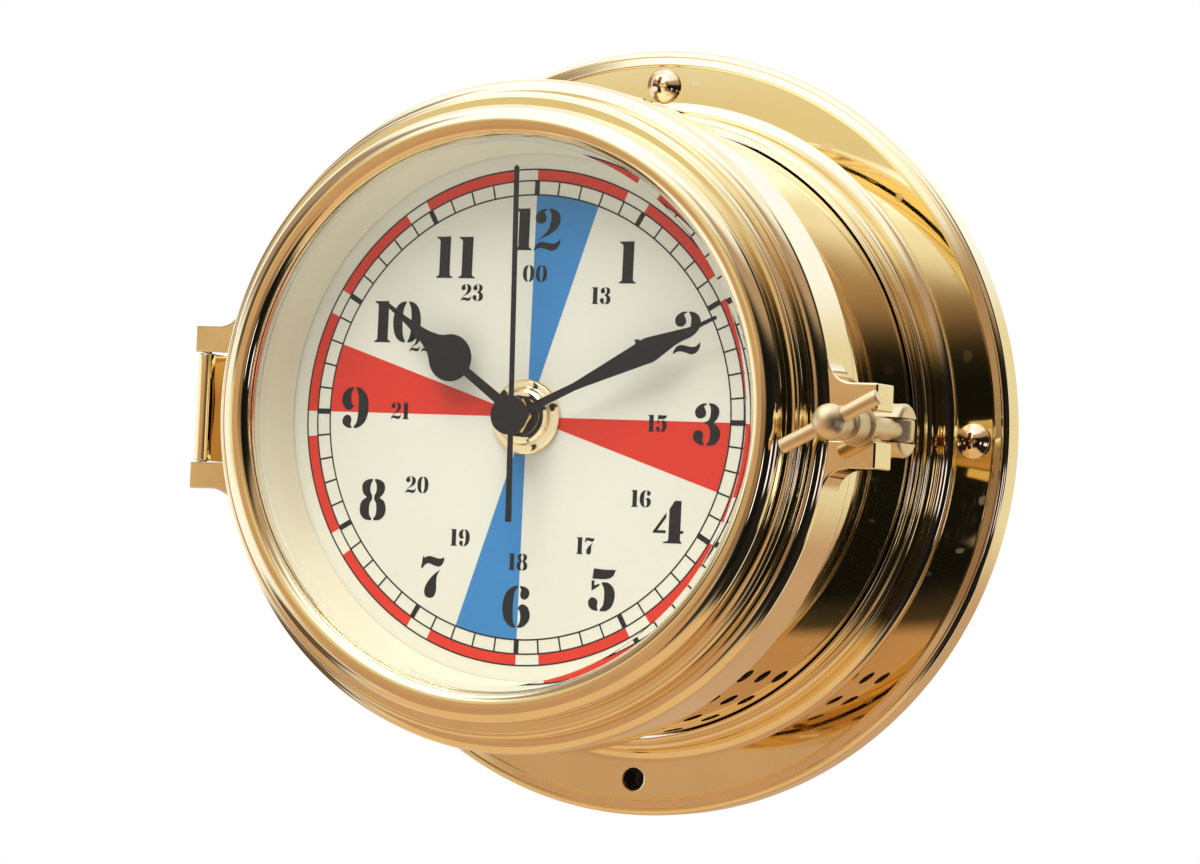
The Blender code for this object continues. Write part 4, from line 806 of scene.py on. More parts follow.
def build_clamp_nut():
    """Washer, and the ball nut with its tommy bar."""
    at_bolt = Matrix.Translation((BOLT_X * MM, 0, 0))
    ring = [(2.45, 77.9, 0.1), (4.6, 77.9, 0.25), (4.6, 79.1, 0.25), (2.45, 79.1, 0.1)]
    washer = turned("clamp_ring", rounded(ring), SATIN_BRASS, 64, at_bolt)
    hand_over(washer, "washer", "lacquered_brass", "clamp_washer")

    neck = math.degrees(math.asin(STEM_RADIUS / BALL_RADIUS))
    top = BALL_DEPTH - BALL_RADIUS * math.cos(math.radians(neck))
    corners = [(0, 89.9), (2.45, 89.9), (2.45, 79.4, 0.15), (3.9, 79.4, 0.35), (3.9, 86.4, 0.5)]
    corners += [(STEM_RADIUS, 86.4, 0.25), (STEM_RADIUS, top)]
    nut = rounded(corners, closed=False) + arc((0, BALL_DEPTH), BALL_RADIUS, neck - 90, 90, 20)[1:]
    grip = turned("ball_nut", nut, SATIN_BRASS, 64, at_bolt)
    along = math.radians(BAR_ANGLE)
    side = (BAR_REACH * math.cos(along), BAR_REACH * math.sin(along))
    ends = ((BOLT_X - side[0], BALL_DEPTH, -side[1]), (BOLT_X + side[0], BALL_DEPTH, side[1]))
    carved(grip, drill("bar_bit", BAR_RADIUS + 0.1, *ends, SATIN_BRASS))
    hand_over(grip, "nut", "lacquered_brass", "clamp_nut")
    bar = rod("tommy_bar", BAR_RADIUS, *ends, SATIN_BRASS, 0.3, 48)
    hand_over(bar, "nut", "lacquered_brass", "clamp_bar")


# Dial


# Stencil numerals, in heights of the numeral. Points with a third value are joined by curves.
SOFT = 1
BALL = [
    (-0.035, 0.995), (-0.16, 0.975, SOFT), (-0.285, 0.885, SOFT), (-0.325, 0.765, SOFT),
    (-0.27, 0.66, SOFT), (-0.165, 0.635, SOFT), (-0.07, 0.68, SOFT), (-0.04, 0.765, SOFT),
    (-0.07, 0.86, SOFT), (-0.1, 0.92, SOFT), (-0.035, 0.96),
]
NUMERALS = {
    "0": [
        [
            (-0.035, 1.0), (-0.18, 0.96, SOFT), (-0.315, 0.81, SOFT), (-0.375, 0.5, SOFT),
            (-0.315, 0.19, SOFT), (-0.18, 0.04, SOFT), (-0.035, 0.0), (-0.035, 0.045),
            (-0.085, 0.14, SOFT), (-0.112, 0.3, SOFT), (-0.118, 0.5, SOFT), (-0.112, 0.7, SOFT),
            (-0.085, 0.86, SOFT), (-0.035, 0.955),
        ],
    ],
    "1": [
        [
            (-0.218, 0.0), (0.218, 0.0), (0.218, 0.03), (0.16, 0.055, SOFT), (0.14, 0.1), (0.14, 1.0),
            (-0.05, 0.99), (-0.225, 0.99), (-0.225, 0.95), (-0.165, 0.93, SOFT), (-0.14, 0.88),
            (-0.14, 0.1), (-0.16, 0.055, SOFT), (-0.218, 0.03),
        ],
    ],
    "2": [
        BALL,
        [
            (0.03, 1.0), (0.18, 0.97, SOFT), (0.3, 0.87, SOFT), (0.335, 0.72, SOFT), (0.27, 0.55, SOFT),
            (0.1, 0.4, SOFT), (-0.12, 0.3, SOFT), (-0.31, 0.19), (-0.13, 0.335, SOFT), (0.01, 0.47, SOFT),
            (0.07, 0.62, SOFT), (0.09, 0.78, SOFT), (0.075, 0.89, SOFT), (0.03, 0.96),
        ],
        [
            (-0.345, 0.02), (-0.27, 0.15, SOFT), (-0.15, 0.205, SOFT), (0.0, 0.185, SOFT),
            (0.12, 0.165, SOFT), (0.24, 0.185, SOFT), (0.345, 0.285), (0.335, 0.15, SOFT),
            (0.26, 0.04, SOFT), (0.13, -0.01, SOFT), (-0.02, 0.03, SOFT), (-0.17, 0.055, SOFT),
            (-0.27, 0.03, SOFT), (-0.33, -0.015),
        ],
    ],
    "3": [
        BALL,
        [
            (0.03, 1.0), (0.17, 0.975, SOFT), (0.275, 0.89, SOFT), (0.295, 0.76, SOFT),
            (0.245, 0.63, SOFT), (0.155, 0.54), (0.275, 0.455, SOFT), (0.34, 0.32, SOFT),
            (0.325, 0.17, SOFT), (0.235, 0.05, SOFT), (0.11, 0.005, SOFT), (0.0, 0.0), (0.0, 0.04),
            (0.06, 0.12, SOFT), (0.082, 0.26, SOFT), (0.065, 0.41, SOFT), (0.0, 0.495, SOFT),
            (-0.09, 0.525), (-0.09, 0.55), (0.005, 0.58, SOFT), (0.06, 0.66, SOFT), (0.078, 0.78, SOFT),
            (0.07, 0.89, SOFT), (0.03, 0.96),
        ],
        [
            (-0.06, 0.0), (-0.2, 0.03, SOFT), (-0.32, 0.12, SOFT), (-0.355, 0.235, SOFT),
            (-0.3, 0.335, SOFT), (-0.2, 0.36, SOFT), (-0.115, 0.315, SOFT), (-0.085, 0.225, SOFT),
            (-0.11, 0.12, SOFT), (-0.06, 0.04),
        ],
    ],
    "4": [
        [
            (-0.09, 0.0), (0.38, 0.0), (0.38, 0.03), (0.34, 0.07), (0.34, 0.235), (0.42, 0.235),
            (0.42, 0.3), (0.34, 0.3), (0.34, 1.0), (0.17, 1.0), (0.04, 0.8), (0.04, 0.1),
            (0.01, 0.05, SOFT), (-0.09, 0.03),
        ],
        [
            (-0.035, 0.72), (-0.365, 0.265), (-0.365, 0.235), (-0.035, 0.235), (-0.035, 0.3),
            (-0.255, 0.3), (-0.035, 0.6),
        ],
    ],
    "5": [
        [
            (-0.24, 1.0), (0.05, 0.98, SOFT), (0.335, 0.985), (0.27, 0.84, SOFT), (0.14, 0.77, SOFT),
            (-0.05, 0.755, SOFT), (-0.265, 0.76),
        ],
        [(-0.285, 0.715), (-0.205, 0.715), (-0.21, 0.6), (-0.075, 0.645), (-0.075, 0.6), (-0.275, 0.47)],
        [
            (-0.015, 0.68), (0.14, 0.675, SOFT), (0.28, 0.57, SOFT), (0.335, 0.37, SOFT),
            (0.27, 0.13, SOFT), (0.12, 0.01, SOFT), (-0.04, 0.0), (-0.04, 0.04), (0.035, 0.14, SOFT),
            (0.06, 0.33, SOFT), (0.045, 0.53, SOFT), (-0.015, 0.64),
        ],
        [
            (-0.1, 0.0), (-0.25, 0.03, SOFT), (-0.335, 0.12, SOFT), (-0.35, 0.22, SOFT),
            (-0.28, 0.31, SOFT), (-0.18, 0.305, SOFT), (-0.105, 0.22, SOFT), (-0.12, 0.12, SOFT),
            (-0.1, 0.045),
        ],
    ],
    "6": [
        [
            (0.015, 1.0), (-0.14, 0.96, SOFT), (-0.3, 0.8, SOFT), (-0.37, 0.5, SOFT), (-0.31, 0.2, SOFT),
            (-0.15, 0.03, SOFT), (-0.01, 0.0), (-0.01, 0.045), (-0.065, 0.14, SOFT), (-0.088, 0.3, SOFT),
            (-0.088, 0.6, SOFT), (-0.06, 0.84, SOFT), (0.015, 0.955),
        ],
        [
            (0.075, 1.0), (0.21, 0.975, SOFT), (0.31, 0.9, SOFT), (0.325, 0.79, SOFT), (0.26, 0.695, SOFT),
            (0.17, 0.68, SOFT), (0.1, 0.74, SOFT), (0.09, 0.83, SOFT), (0.11, 0.91, SOFT), (0.075, 0.955),
        ],
        [
            (0.05, 0.0), (0.19, 0.03, SOFT), (0.32, 0.15, SOFT), (0.365, 0.31, SOFT), (0.31, 0.48, SOFT),
            (0.2, 0.56, SOFT), (0.1, 0.545, SOFT), (0.03, 0.46), (0.09, 0.4, SOFT), (0.115, 0.27, SOFT),
            (0.1, 0.13, SOFT), (0.05, 0.045),
        ],
    ],
    "7": [
        [
            (-0.265, 1.0), (-0.225, 0.955), (-0.1, 1.0, SOFT), (0.05, 0.97, SOFT), (0.18, 0.945, SOFT),
            (0.31, 0.975), (0.28, 0.85, SOFT), (0.19, 0.76, SOFT), (0.05, 0.775, SOFT),
            (-0.1, 0.825, SOFT), (-0.2, 0.79, SOFT), (-0.27, 0.7), (-0.31, 0.7),
        ],
        [
            (0.2, 0.68), (0.125, 0.52, SOFT), (0.115, 0.35, SOFT), (0.12, 0.18, SOFT), (0.06, 0.035, SOFT),
            (-0.045, 0.0, SOFT), (-0.155, 0.04, SOFT), (-0.195, 0.15, SOFT), (-0.165, 0.29, SOFT),
            (-0.08, 0.43, SOFT), (0.03, 0.55, SOFT),
        ],
    ],
    "8": [
        [
            (-0.03, 1.0), (-0.16, 0.98, SOFT), (-0.28, 0.9, SOFT), (-0.31, 0.77, SOFT), (-0.265, 0.64, SOFT),
            (-0.175, 0.55), (-0.3, 0.46, SOFT), (-0.35, 0.31, SOFT), (-0.325, 0.14, SOFT),
            (-0.2, 0.02, SOFT), (-0.03, 0.0), (-0.03, 0.05), (-0.085, 0.13, SOFT), (-0.1, 0.27, SOFT),
            (-0.085, 0.41, SOFT), (-0.03, 0.5), (-0.03, 0.6), (-0.075, 0.68, SOFT), (-0.088, 0.78, SOFT),
            (-0.072, 0.88, SOFT), (-0.03, 0.95),
        ],
    ],
}
HALF_DRAWN = "08"  # digits with only their left half in the list
WIDTHS = {"0": 0.75, "1": 0.44, "2": 0.69, "3": 0.7, "4": 0.79, "5": 0.69, "6": 0.74, "7": 0.62, "8": 0.7}
WIDTHS["9"] = WIDTHS["6"]
LARGE_HEIGHT, SMALL_HEIGHT = 9.4, 3.75
LARGE_NUMBERS = {
    "12": (0.7, 42.0), "1": (23.2, 34.9), "2": (38.3, 19.6), "3": (44.1, -0.5), "4": (35.6, -22.2),
    "5": (20.5, -37.8), "6": (-0.4, -42.4), "7": (-21.8, -36.6), "8": (-37.7, -19.7), "9": (-43.4, 1.0),
    "10": (-33.5, 20.7), "11": (-19.5, 35.5),
}
SMALL_NUMBERS = {
    "00": (0.4, 32.1), "13": (17.0, 27.4), "14": (28.0, 16.0), "15": (32.1, -0.6), "16": (29.0, -17.3),
    "17": (15.9, -28.2), "18": (-0.5, -32.4), "19": (-15.2, -27.5), "20": (-26.7, -16.0),
    "21": (-31.9, 0.6), "22": (-27.5, 16.0), "23": (-15.1, 27.6),
}


def drawn(points, steps):
    """Join points with straight lines, and with curves beside the soft points."""
    path = []
    count = len(points)
    for index, point in enumerate(points):
        after = points[(index + 1) % count]
        here, there = Vector(point[:2]), Vector(after[:2])
        path.append(tuple(here))
        if len(point) == 2 and len(after) == 2:
            continue
        leave = arrive = there - here
        if len(point) == 3:
            leave = (there - Vector(points[index - 1][:2])) / 2
        if len(after) == 3:
            arrive = (Vector(points[(index + 2) % count][:2]) - here) / 2
        for step in range(1, steps):
            t = step / steps
            spot = here * (2 * t**3 - 3 * t**2 + 1) + leave * (t**3 - 2 * t**2 + t)
            spot += there * (3 * t**2 - 2 * t**3) + arrive * (t**3 - t**2)
            path.append(tuple(spot))
    return path


def numeral_strokes(digit, steps):
    """Return a digit's closed strokes. A 9 is a 6 turned upside down."""
    strokes = [drawn(stroke, steps) for stroke in NUMERALS["6" if digit == "9" else digit]]
    if digit in HALF_DRAWN:
        strokes += [[(-x, z) for x, z in stroke] for stroke in strokes]
    if digit == "9":
        strokes = [[(-x, 1 - z) for x, z in stroke] for stroke in strokes]
    return strokes


def number_strokes(text, middle, height, gap, steps):
    """Return the strokes of an upright number around its middle."""
    widths = [WIDTHS[digit] for digit in text]
    cursor = -(sum(widths) + gap * (len(text) - 1)) / 2
    strokes = []
    for digit, width in zip(text, widths):
        place = cursor + width / 2
        for stroke in numeral_strokes(digit, steps):
            spots = [(x + place, z - 0.5) for x, z in stroke]
            strokes.append([(middle[0] + x * height, middle[1] + z * height) for x, z in spots])
        cursor += width + gap
    return strokes


def printed(name, outlines, low, high, ink):
    """Print closed outlines as one thin layer."""
    mesh = bmesh.new()
    for outline in outlines:
        rows = [[mesh.verts.new((x * MM, -level * MM, z * MM)) for x, z in outline] for level in (low, high)]
        stack(mesh, rows)
    return solid(name, mesh, ink)


def sector(name, first, last, inner, outer, ink):
    """Closed print of a sector between two minutes and two radii."""
    steps = max(2, math.ceil((last - first) * 4))
    angles = [(first + (last - first) * step / steps) * 6 for step in range(steps + 1)]
    outline = [place_at(angle, outer) for angle in angles]
    outline += [place_at(angle, inner) for angle in reversed(angles)]
    return printed(name, [outline], PRINT_LOW, PRINT_MIDDLE, ink)


def print_round(name, stamp, ink, count):
    """Repeat a print evenly round the dial."""
    hand_over(repeated(name, stamp, ink, count, 0, 360 / count), "clock", None)


def build_numerals():
    """Large numerals 1 to 12 and small numerals 13 to 23 and 00."""
    sizes = (
        ("large_numerals", LARGE_NUMBERS, LARGE_HEIGHT, 0.05, 5),
        ("small_numerals", SMALL_NUMBERS, SMALL_HEIGHT, 0.1, 3),
    )
    for name, numbers, height, usual_gap, steps in sizes:
        strokes = []
        for text, middle in numbers.items():
            gap = 0.16 if text == "11" else usual_gap
            strokes += number_strokes(text, middle, height, gap, steps)
        hand_over(printed(name, strokes, PRINT_MIDDLE, PRINT_HIGH, BLACK_INK), "clock", None)


def build_dial():
    """Cream dial with printed sectors, minute ring and numerals, and the white reflector ring."""
    plate = [(4.2, 70.3, 0.05), (62.1, 70.3, 0.05), (62.1, DIAL_FACE, 0.1), (4.2, DIAL_FACE, 0.1)]
    hand_over(turned("dial_blank", rounded(plate), CREAM), "clock", "dial_white", "dial_plate")
    print_round("blue_sectors", sector("blue_sector", 0, 3, 6.0, TRACK_INNER, BLUE), BLUE, 2)
    print_round("red_sectors", sector("red_sector", 15, 18, 6.0, TRACK_INNER, RED), RED, 2)
    print_round("red_dashes", sector("red_dash", 0, 4, TRACK_OUTER, DASH_OUTER, RED), RED, 12)
    circles = []
    for radius in (TRACK_INNER, TRACK_OUTER, DASH_OUTER):
        band = oblong(radius - 0.17, PRINT_MIDDLE, radius + 0.17, PRINT_HIGH)
        circles.append(turned("circle", band, BLACK_INK))
    hand_over(merged("minute_circles", circles), "clock", None)
    marks = (("minute_lines", 0.19, 60, PRINT_HIGH), ("hour_bars", 0.6, 12, PRINT_HIGH + 0.01))
    for name, half, count, top in marks:
        line = oblong(-half, TRACK_INNER, half, TRACK_OUTER)
        print_round(name, printed("line", [line], PRINT_MIDDLE, top, BLACK_INK), BLACK_INK, count)
    build_numerals()

    flare = [(59.0, 71.4, 0.1), (62.1, 71.4, 0.1), (62.1, 79.1, 0.1), (62.6, 79.1, 0.1)]
    flare += [(62.6, 82.92, 0.3), (61.4, 82.92, 0.3)]
    hand_over(turned("reflector", rounded(flare), SATIN), "clock", "reflector_white", "reflector_ring")


# Hands


def hub_arc(radius, arm, steps):
    """Return a hub's round outline, open where the hand's arm leaves it."""
    half_gap = math.degrees(math.asin(arm / 2 / radius)) + 2.0
    return arc((0, 0), radius, 90 + half_gap, 450 - half_gap, steps)


def blade(name, outline, angle, back, edge, bore):
    """Cut a hand that shows a clock angle out of sheet, with the hole in its hub."""
    front = back + HAND_THICKNESS
    hand = slab(name, turned_to(outline, angle), back, front, HAND_BLACK, edge)
    return carved(hand, drill("hub_bit", bore, (0, back - 1.5, 0), (0, front + 1.5, 0), HAND_BLACK))


def build_hands():
    """Pear-shaped hour hand, slim leaf minute hand, stick second hand and its cap."""
    disc = arc((0, 21.6), 5.3, -79, 42, 20)
    taper = [(3.15, 25.95), (2.45, 27.1), (1.85, 28.7), (1.42, 30.4), (1.1, 32.2), (0.7, 36.0), (0.4, 42.3)]
    outline = hub_arc(4.6, 2.0, 40) + both_sides([(1.0, 16.4)] + disc + taper + [(0.2, 42.6)])
    hour = blade("hour_blade", outline, HOUR_ANGLE, 75.5, 0.08, 2.7)
    hand_over(hour, "hour", "hand_black", "hour_hand")

    leaf = [(0.85, 15.5), (1.05, 18.0), (2.62, 33.4), (2.8, 34.6), (2.84, 35.3), (2.72, 36.2)]
    leaf += [(0.6, 46.2), (0.47, 47.4), (0.42, 52.7), (0.25, 52.9)]
    minute = blade("minute_blade", hub_arc(3.2, 1.7, 32) + both_sides(leaf), MINUTE_ANGLE, 76.8, 0.08, 1.75)
    hand_over(minute, "minute", "hand_black", "minute_hand")

    half, hub = 0.575, 2.2
    side = math.sqrt(hub**2 - half**2)
    edge = math.degrees(math.atan2(side, half))
    outline = [(half, side), (half, 55.2), (0.0, 55.7), (-half, 55.2), (-half, side)]
    outline += arc((0, 0), hub, 180 - edge + 8, 180 + edge - 8, 14)
    outline += [(-half, -side), (-half - 0.15, -23.7), (half + 0.15, -23.7), (half, -side)]
    outline += arc((0, 0), hub, -edge + 8, edge - 8, 14)
    second = blade("second_stick", outline, SECOND_ANGLE, 79.0, 0.06, 0.75)
    hand_over(second, "second", "hand_black", "second_hand")
    cap = [(0, 80.25), (0.9, 80.25), (0.9, 79.7, 0.05), (4.4, 79.7, 0.15), (4.4, 80.8, 0.35), (0, 80.85)]
    hand_over(turned("hand_boss", rounded(cap, False), HAND_BLACK, 64), "second", "hand_black", "hand_cap")

    collar = [
        (4.2, 71.4, 0.1), (8.4, 71.4, 0.15), (8.4, 72.1, 0.2), (7.9, 72.6, 0.2), (6.65, 72.7, 0.2),
        (6.1, 73.6, 0.3), (5.5, 74.0, 0.2), (4.2, 74.0, 0.15),
    ]
    hand_over(turned("dial_nut", rounded(collar), FITTING, 96), "clock", "lacquered_brass", "fixing_nut")


# Movement


def dress_nodes():
    """Give the remaining nodes of the frame their finishes."""
    wheels = ("hour_wheel", "minute_wheel", "second_wheel", "third_wheel", "step_wheel", "motion_wheel")
    contacts = ("battery_contact_plus", "battery_contact_minus")
    finishes = {
        SCREEN: ("vent_screen",),
        BLACK_PLASTIC: ("movement_front", "movement_rear"),
        FITTING: ("threaded_bush", "hand_nut"),
        RUBBER: ("rubber_washer",),
        WHEEL_PLASTIC: (*wheels, "setting_knob"),
        STEEL: ("motor_rotor", "stator", *contacts, "quartz_crystal"),
        COPPER: ("coil",),
        BOARD: ("circuit_board",),
        WRAP: ("battery",),
    }
    for finish, names in finishes.items():
        for name in names:
            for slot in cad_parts[name].material_slots:
                slot.material = finish


# Stage


# What stands round the clock: a name, a colour, four headings and four heights in degrees.
TENT_WHITE = (1.15, 1.25, 1.45)
ALL_ROUND = (-200, -190, 190, 200)
SURROUNDINGS = (
    ("tent roof", (1.6, 1.8, 2.3), (-90, -70, 30, 60), (40, 54, 190, 200)),
    ("tent front", (1.5, 1.7, 2.2), (-40, -30, -6, 6), (21, 29, 60, 70)),
    ("tent hem", (0.86, 0.76, 0.51), (-60, -40, 4, 14), (-100, -99, 18, 26)),
    ("sheet behind", (0.9, 0.85, 0.65), (124, 136, 190, 200), (-100, -99, 14, 26)),
    ("side curtain", (0.5, 0.37, 0.3), (8, 24, 112, 128), (-10, 0, 36, 52)),
    ("table", (0.82, 0.58, 0.36), ALL_ROUND, (-100, -95, -46, -36)),
    ("table behind", (0.6, 0.4, 0.27), (124, 136, 190, 200), (-100, -99, -20, -8)),
    ("table beside", (0.62, 0.42, 0.28), (-200, -190, -150, -130), (-100, -99, -22, -8)),
    ("table front", (0.63, 0.42, 0.27), (-44, -36, 2, 14), (-50, -44, 2, 12)),
    ("table edge", (0.6, 0.37, 0.25), (-52, -42, 24, 40), (-50, -42, -24, -12)),
    ("camera hood", (0.45, 0.3, 0.2), (-2, 8, 20, 28), (0, 6, 18, 28)),
    ("camera", (0.32, 0.2, 0.13), (-8, -1, 20, 28), (-21, -14, 2, 8)),
    ("left board", (0.42, 0.32, 0.28), (-100, -84, -44, -32), (8, 18, 38, 50)),
    ("left post", (0.15, 0.1, 0.06), (-58, -51, -43, -37), (2, 7, 16, 24)),
    ("paper strip", (1.15, 1.25, 1.55), (-125, -112, -50, -38), (-20, -15, -7, -2)),
    ("left shadow", (0.16, 0.1, 0.06), (-135, -115, -60, -48), (-44, -36, -26, -19)),
    ("dim room", (0.06, 0.05, 0.04), (14, 19, 114, 126), (-48, -36, 16, 30)),
    ("dark room", (0.008, 0.009, 0.01), (18, 26, 112, 126), (-38, -28, 12, 24)),
    ("dark corner", (0.02, 0.016, 0.016), (52, 64, 112, 126), (-52, -42, 8, 18)),
    ("dark door", (0.05, 0.04, 0.03), (98, 106, 126, 134), (8, 18, 42, 56)),
    ("near window", (2.2, 2.2, 2.9), (24, 25.5, 27.5, 29), (-15, -12, -5, -2)),
    ("middle window", (1.6, 1.6, 2.3), (62, 64, 69, 72), (-17, -13, -5, -2)),
    ("far window", (1.2, 1.1, 1.6), (88, 91, 98, 102), (-17, -13, -5, -2)),
    ("low window", (0.85, 0.8, 0.6), (98, 108, 128, 140), (-26, -22, -12, -8)),
)
WAYS = ("Heading", "Height")
SIDES = ("Start", "Full", "Leave", "End")
GLOBE_RADIUS, GLOBE_CENTRE = 350, (0, -0.04, 0)
FLOOR_REACH, FLOOR_HEIGHT = 3.0, -0.55  # in metres, as are the lamps and the camera
LAMP_AIM = (0, -0.05, 0)
WHITE_LEVEL, LIGHT_LEVEL = 1.0, 0.51  # of the background, as it shows and as it lights


def stage_finish(name, colour):
    """Matt surface of the stage with slow changes of tone."""
    made, tree, shader, spot = new_finish(name)
    grain = use_group(tree, GRAIN, {"Vector": spot, "Grain Scale": 300.0, "Tone Scale": 3.0})
    deep = tuple(part * 0.96 for part in colour)
    fill(tree, shader, {"Base Color": mixed(tree, grain["Tone"], colour, deep), "Roughness": 0.9})
    return made


def floor_finish():
    """Pale floor that fades into the white background away from the clock."""
    made = stage_finish("pale_floor", (0.93, 0.92, 0.90))
    tree = made.node_tree
    spot = add(tree, "ShaderNodeTexCoord")["Object"]
    away = add(tree, "ShaderNodeVectorMath", {0: spot}, operation="LENGTH")["Value"]
    shown = ranged(tree, away, 1.0, 0.0, 0.5, 2.6, interpolation_type="SMOOTHSTEP")
    fill(tree, tree.nodes["Principled BSDF"], {"Alpha": shown})
    return made


def build_floor():
    """Level floor that shows to the camera and takes the shadow."""
    mesh = bmesh.new()
    corners = oblong(-FLOOR_REACH, -FLOOR_REACH, FLOOR_REACH, FLOOR_REACH)
    mesh.faces.new([mesh.verts.new((x, y, FLOOR_HEIGHT)) for x, y in corners])
    floor = meshed("floor", mesh, floor_finish())
    floor.visible_glossy = False


def direction_group():
    """Heading from the front towards 3 o'clock and height above level, both in degrees."""
    inputs = [("Vector", "Vector", None)]
    tree, start, end = new_tree("direction_from_clock", "Shader", inputs, [(way, "Float") for way in WAYS])
    x, y, z = add(tree, "ShaderNodeSeparateXYZ", {0: start["Vector"]})
    level = output(tree, "ShaderNodeCombineXYZ", {"X": x, "Y": y})
    far = add(tree, "ShaderNodeVectorMath", {0: level}, operation="LENGTH")["Value"]
    ahead = maths(tree, "MULTIPLY", y, -1.0)
    for way, side, base in zip(WAYS, (x, z), (ahead, far)):
        fill(tree, end, {way: maths(tree, "DEGREES", maths(tree, "ARCTAN2", side, base))})
    return tree


def patch_group():
    """Soft-edged patch that comes up and goes away between four headings and four heights."""
    labels = [*WAYS, *(f"{way} {side}" for way in WAYS for side in SIDES)]
    inputs = [(label, "Float", 0.0) for label in labels]
    tree, start, end = new_tree("soft_patch", "Shader", inputs, [("Mask", "Float")])
    mask = 1.0
    for way in WAYS:
        for first, last, low, high in (("Start", "Full", 0.0, 1.0), ("Leave", "End", 1.0, 0.0)):
            edges = (start[f"{way} {first}"], start[f"{way} {last}"])
            ramp = ranged(tree, start[way], low, high, *edges, interpolation_type="SMOOTHSTEP")
            mask = maths(tree, "MULTIPLY", mask, ramp)
    fill(tree, end, {"Mask": mask})
    return tree


def surroundings_finish():
    """Glow of a photographer's white tent, its warm table sheet and the dark room behind the camera."""
    made, tree, shader, spot = new_finish("studio_surroundings")
    aim = use_group(tree, DIRECTION, {"Vector": spot})
    grain = use_group(tree, GRAIN, {"Vector": spot, "Grain Scale": 40.0, "Tone Scale": 2.0})
    shade = tuple(part * 0.94 for part in TENT_WHITE)
    colour = mixed(tree, grain["Tone"], TENT_WHITE, shade)
    for name, patch, headings, heights in SURROUNDINGS:
        inputs = {way: aim[way] for way in WAYS}
        for way, places in zip(WAYS, (headings, heights)):
            inputs |= {f"{way} {side}": float(place) for side, place in zip(SIDES, places)}
        colour = mixed(tree, use_group(tree, PATCH, inputs, name)["Mask"], colour, patch)
    looks = {
        "Base Color": (0.0, 0.0, 0.0, 1.0),
        "Roughness": 1.0,
        "Specular IOR Level": 0.0,
        "Emission Color": colour,
        "Emission Strength": 1.0,
    }
    fill(tree, shader, looks)
    made.cycles.emission_sampling = "NONE"
    return made


def build_surroundings():
    """Globe round the clock that only the brass and the glass show."""
    side = arc((0, 0), GLOBE_RADIUS, -90, 90, 32)[1:-1]
    profile = [(0, -GLOBE_RADIUS), *side, (0, GLOBE_RADIUS)]
    globe = turned("surroundings", profile, surroundings_finish(), 64)
    globe.location = GLOBE_CENTRE
    for ray in ("camera", "diffuse", "transmission", "shadow"):
        setattr(globe, "visible_" + ray, False)


def softbox(name, place, size, power):
    """Square lamp aimed at the clock, which the brass doesn't show."""
    data = bpy.data.lights.new(name, "AREA")
    data.size = size
    data.energy = power
    lamp = new_object(name, data)
    lamp.location = place
    lamp.rotation_euler = (Vector(LAMP_AIM) - Vector(place)).to_track_quat("-Z", "Y").to_euler()
    lamp.visible_camera = False
    lamp.visible_glossy = False


def build_world():
    """White background that lights less than it shows."""
    world = bpy.data.worlds.new("white_studio")
    bpy.context.scene.world = world
    world.use_nodes = True
    tree = world.node_tree
    path = add(tree, "ShaderNodeLightPath")
    shown = path["Is Camera Ray"]
    for kind in ("Is Glossy Ray", "Is Transmission Ray"):
        shown = maths(tree, "MAXIMUM", shown, path[kind])
    level = ranged(tree, shown, LIGHT_LEVEL, WHITE_LEVEL)
    fill(tree, tree.nodes["Background"], {"Color": (1.0, 1.0, 1.0, 1.0), "Strength": level})


def build_stage():
    """Floor, surroundings, a dark disc of painted shade behind the empty screw hole, soft lamps and
    background.
    """
    build_floor()
    build_surroundings()
    below = Matrix.Translation((0, 0, -SCREW_CIRCLE * MM))
    # Dark disc just behind the empty screw hole: painted shade that makes the hole look black.
    dark = stage_finish("painted_hole_shade", (0.012, 0.012, 0.014))
    turned("hole_shade", oblong(0, -0.9, 2.9, -0.5), dark, 32, below)
    softbox("key_softbox", (-0.1, -1.0, 1.5), 1.2, 33.0)
    softbox("top_softbox", (0.35, 0.1, 1.3), 0.9, 12.0)
    build_world()


def build_camera():
    """Camera of the photograph, fitted to the circles of the clock."""
    data = bpy.data.cameras.new("photo_camera")
    data.sensor_width = 36.0
    data.lens = 149.139
    camera = new_object("photo_camera", data)
    right = Vector((0.9042221, 0.42458177, 0.04596429))
    up = Vector((-0.02717828, -0.05020031, 0.99836931))
    forward = Vector((-0.42619683, 0.90399682, 0.03385283))
    turn = Matrix((right, up, -forward)).transposed().to_4x4()
    camera.matrix_world = Matrix.Translation((0.48775658, -1.06841714, -0.04016527)) @ turn
    bpy.context.scene.camera = camera


LATHE = lathe_tree()
ROUND = round_tree()
TURNING = turning_marks_group()
HANDLING = handling_group()
GRAIN = grain_group()
DIRECTION = direction_group()
PATCH = patch_group()

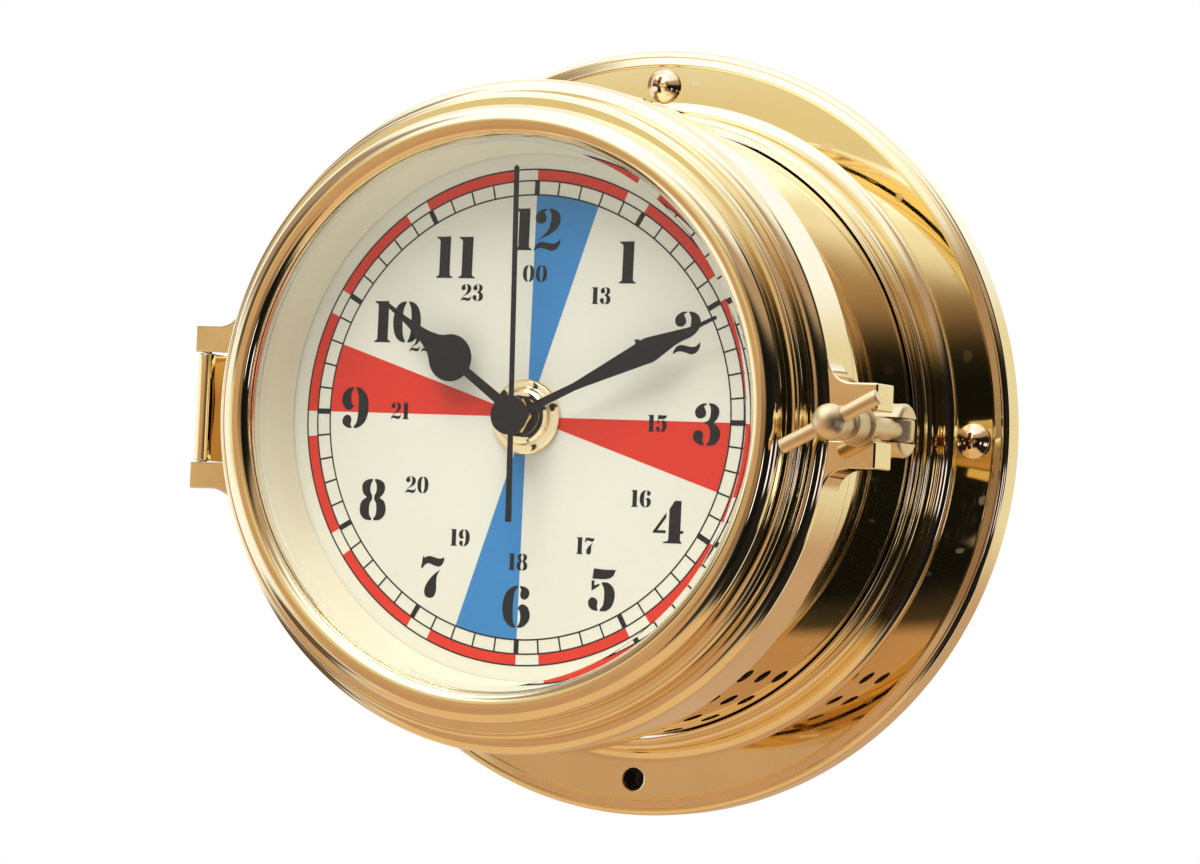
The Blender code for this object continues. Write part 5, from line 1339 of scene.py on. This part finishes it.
BRASS = brass_finish("polished_brass", (0.92, 0.77, 0.45), (0.88, 0.72, 0.41), 0.02, 0.055)
FITTING = brass_finish("small_brass_fittings", (0.92, 0.74, 0.46), (0.86, 0.67, 0.40), 0.06, 0.13)
SATIN_BRASS = brass_finish("satin_brass_fittings", (0.95, 0.77, 0.44), (0.90, 0.71, 0.39), 0.4, 0.5)
DULL_BRASS = brass_finish("turned_brass_inside", (0.78, 0.56, 0.26), (0.62, 0.42, 0.18), 0.22, 0.4, marks=1.0)
CREAM = grained_finish("dial_cream_enamel", (0.86, 0.82, 0.69), (0.83, 0.79, 0.66), 0.38, 0.5, 2600.0, 0.01)
# Reflector satin white: its own pale cream, warmed and darkened towards khaki as painted warm light bounced
# from the brass and painted shade.
SATIN = grained_finish(
    "reflector_satin_cream_painted_bounce", (0.87, 0.81, 0.61), (0.83, 0.77, 0.56), 0.3, 0.45, 1800.0, 0.02
)
BLUE = ink_finish("silence_blue_ink", (0.045, 0.25, 0.56), (0.035, 0.22, 0.51), 0.4, 0.5, 0.2)
RED = ink_finish("silence_red_ink", (0.76, 0.035, 0.015), (0.70, 0.028, 0.012), 0.4, 0.5, 0.2)
BLACK_INK = ink_finish("black_ink", (0.006, 0.006, 0.006), (0.01, 0.01, 0.01), 0.5, 0.6, 0.08)
HAND_BLACK = grained_finish(
    "hand_satin_black", (0.006, 0.006, 0.007), (0.01, 0.01, 0.011), 0.4, 0.55, 2200.0, 0.01, specular=0.06
)
BLACK_PLASTIC = grained_finish(
    "moulded_black_plastic", (0.018, 0.018, 0.019), (0.03, 0.03, 0.031), 0.42, 0.6, 1300.0, 0.06
)
RUBBER = grained_finish(
    "black_rubber_sheet", (0.02, 0.02, 0.02), (0.035, 0.034, 0.033), 0.7, 0.85, 900.0, 0.08
)
WHEEL_PLASTIC = grained_finish("white_nylon", (0.78, 0.77, 0.72), (0.70, 0.69, 0.63), 0.35, 0.5, 1500.0, 0.04)
STEEL = grained_finish("plated_steel", (0.62, 0.61, 0.58), (0.52, 0.51, 0.49), 0.18, 0.34, 1800.0, 0.02, 1.0)
BOARD = grained_finish("green_circuit_board", (0.02, 0.16, 0.06), (0.015, 0.11, 0.04), 0.3, 0.5, 900.0, 0.05)
GLASS = glass_finish()
COPPER = wound_finish()
WRAP = battery_finish()
SCREEN = screen_finish()

build_camera()
build_flange()
build_screws()
build_drum()
build_bezel()
build_glass()
build_hinge()
build_swing_bolt()
build_clamp_nut()
build_dial()
build_hands()
dress_nodes()
build_stage()

bpy.context.scene.view_settings.view_transform = "Standard"
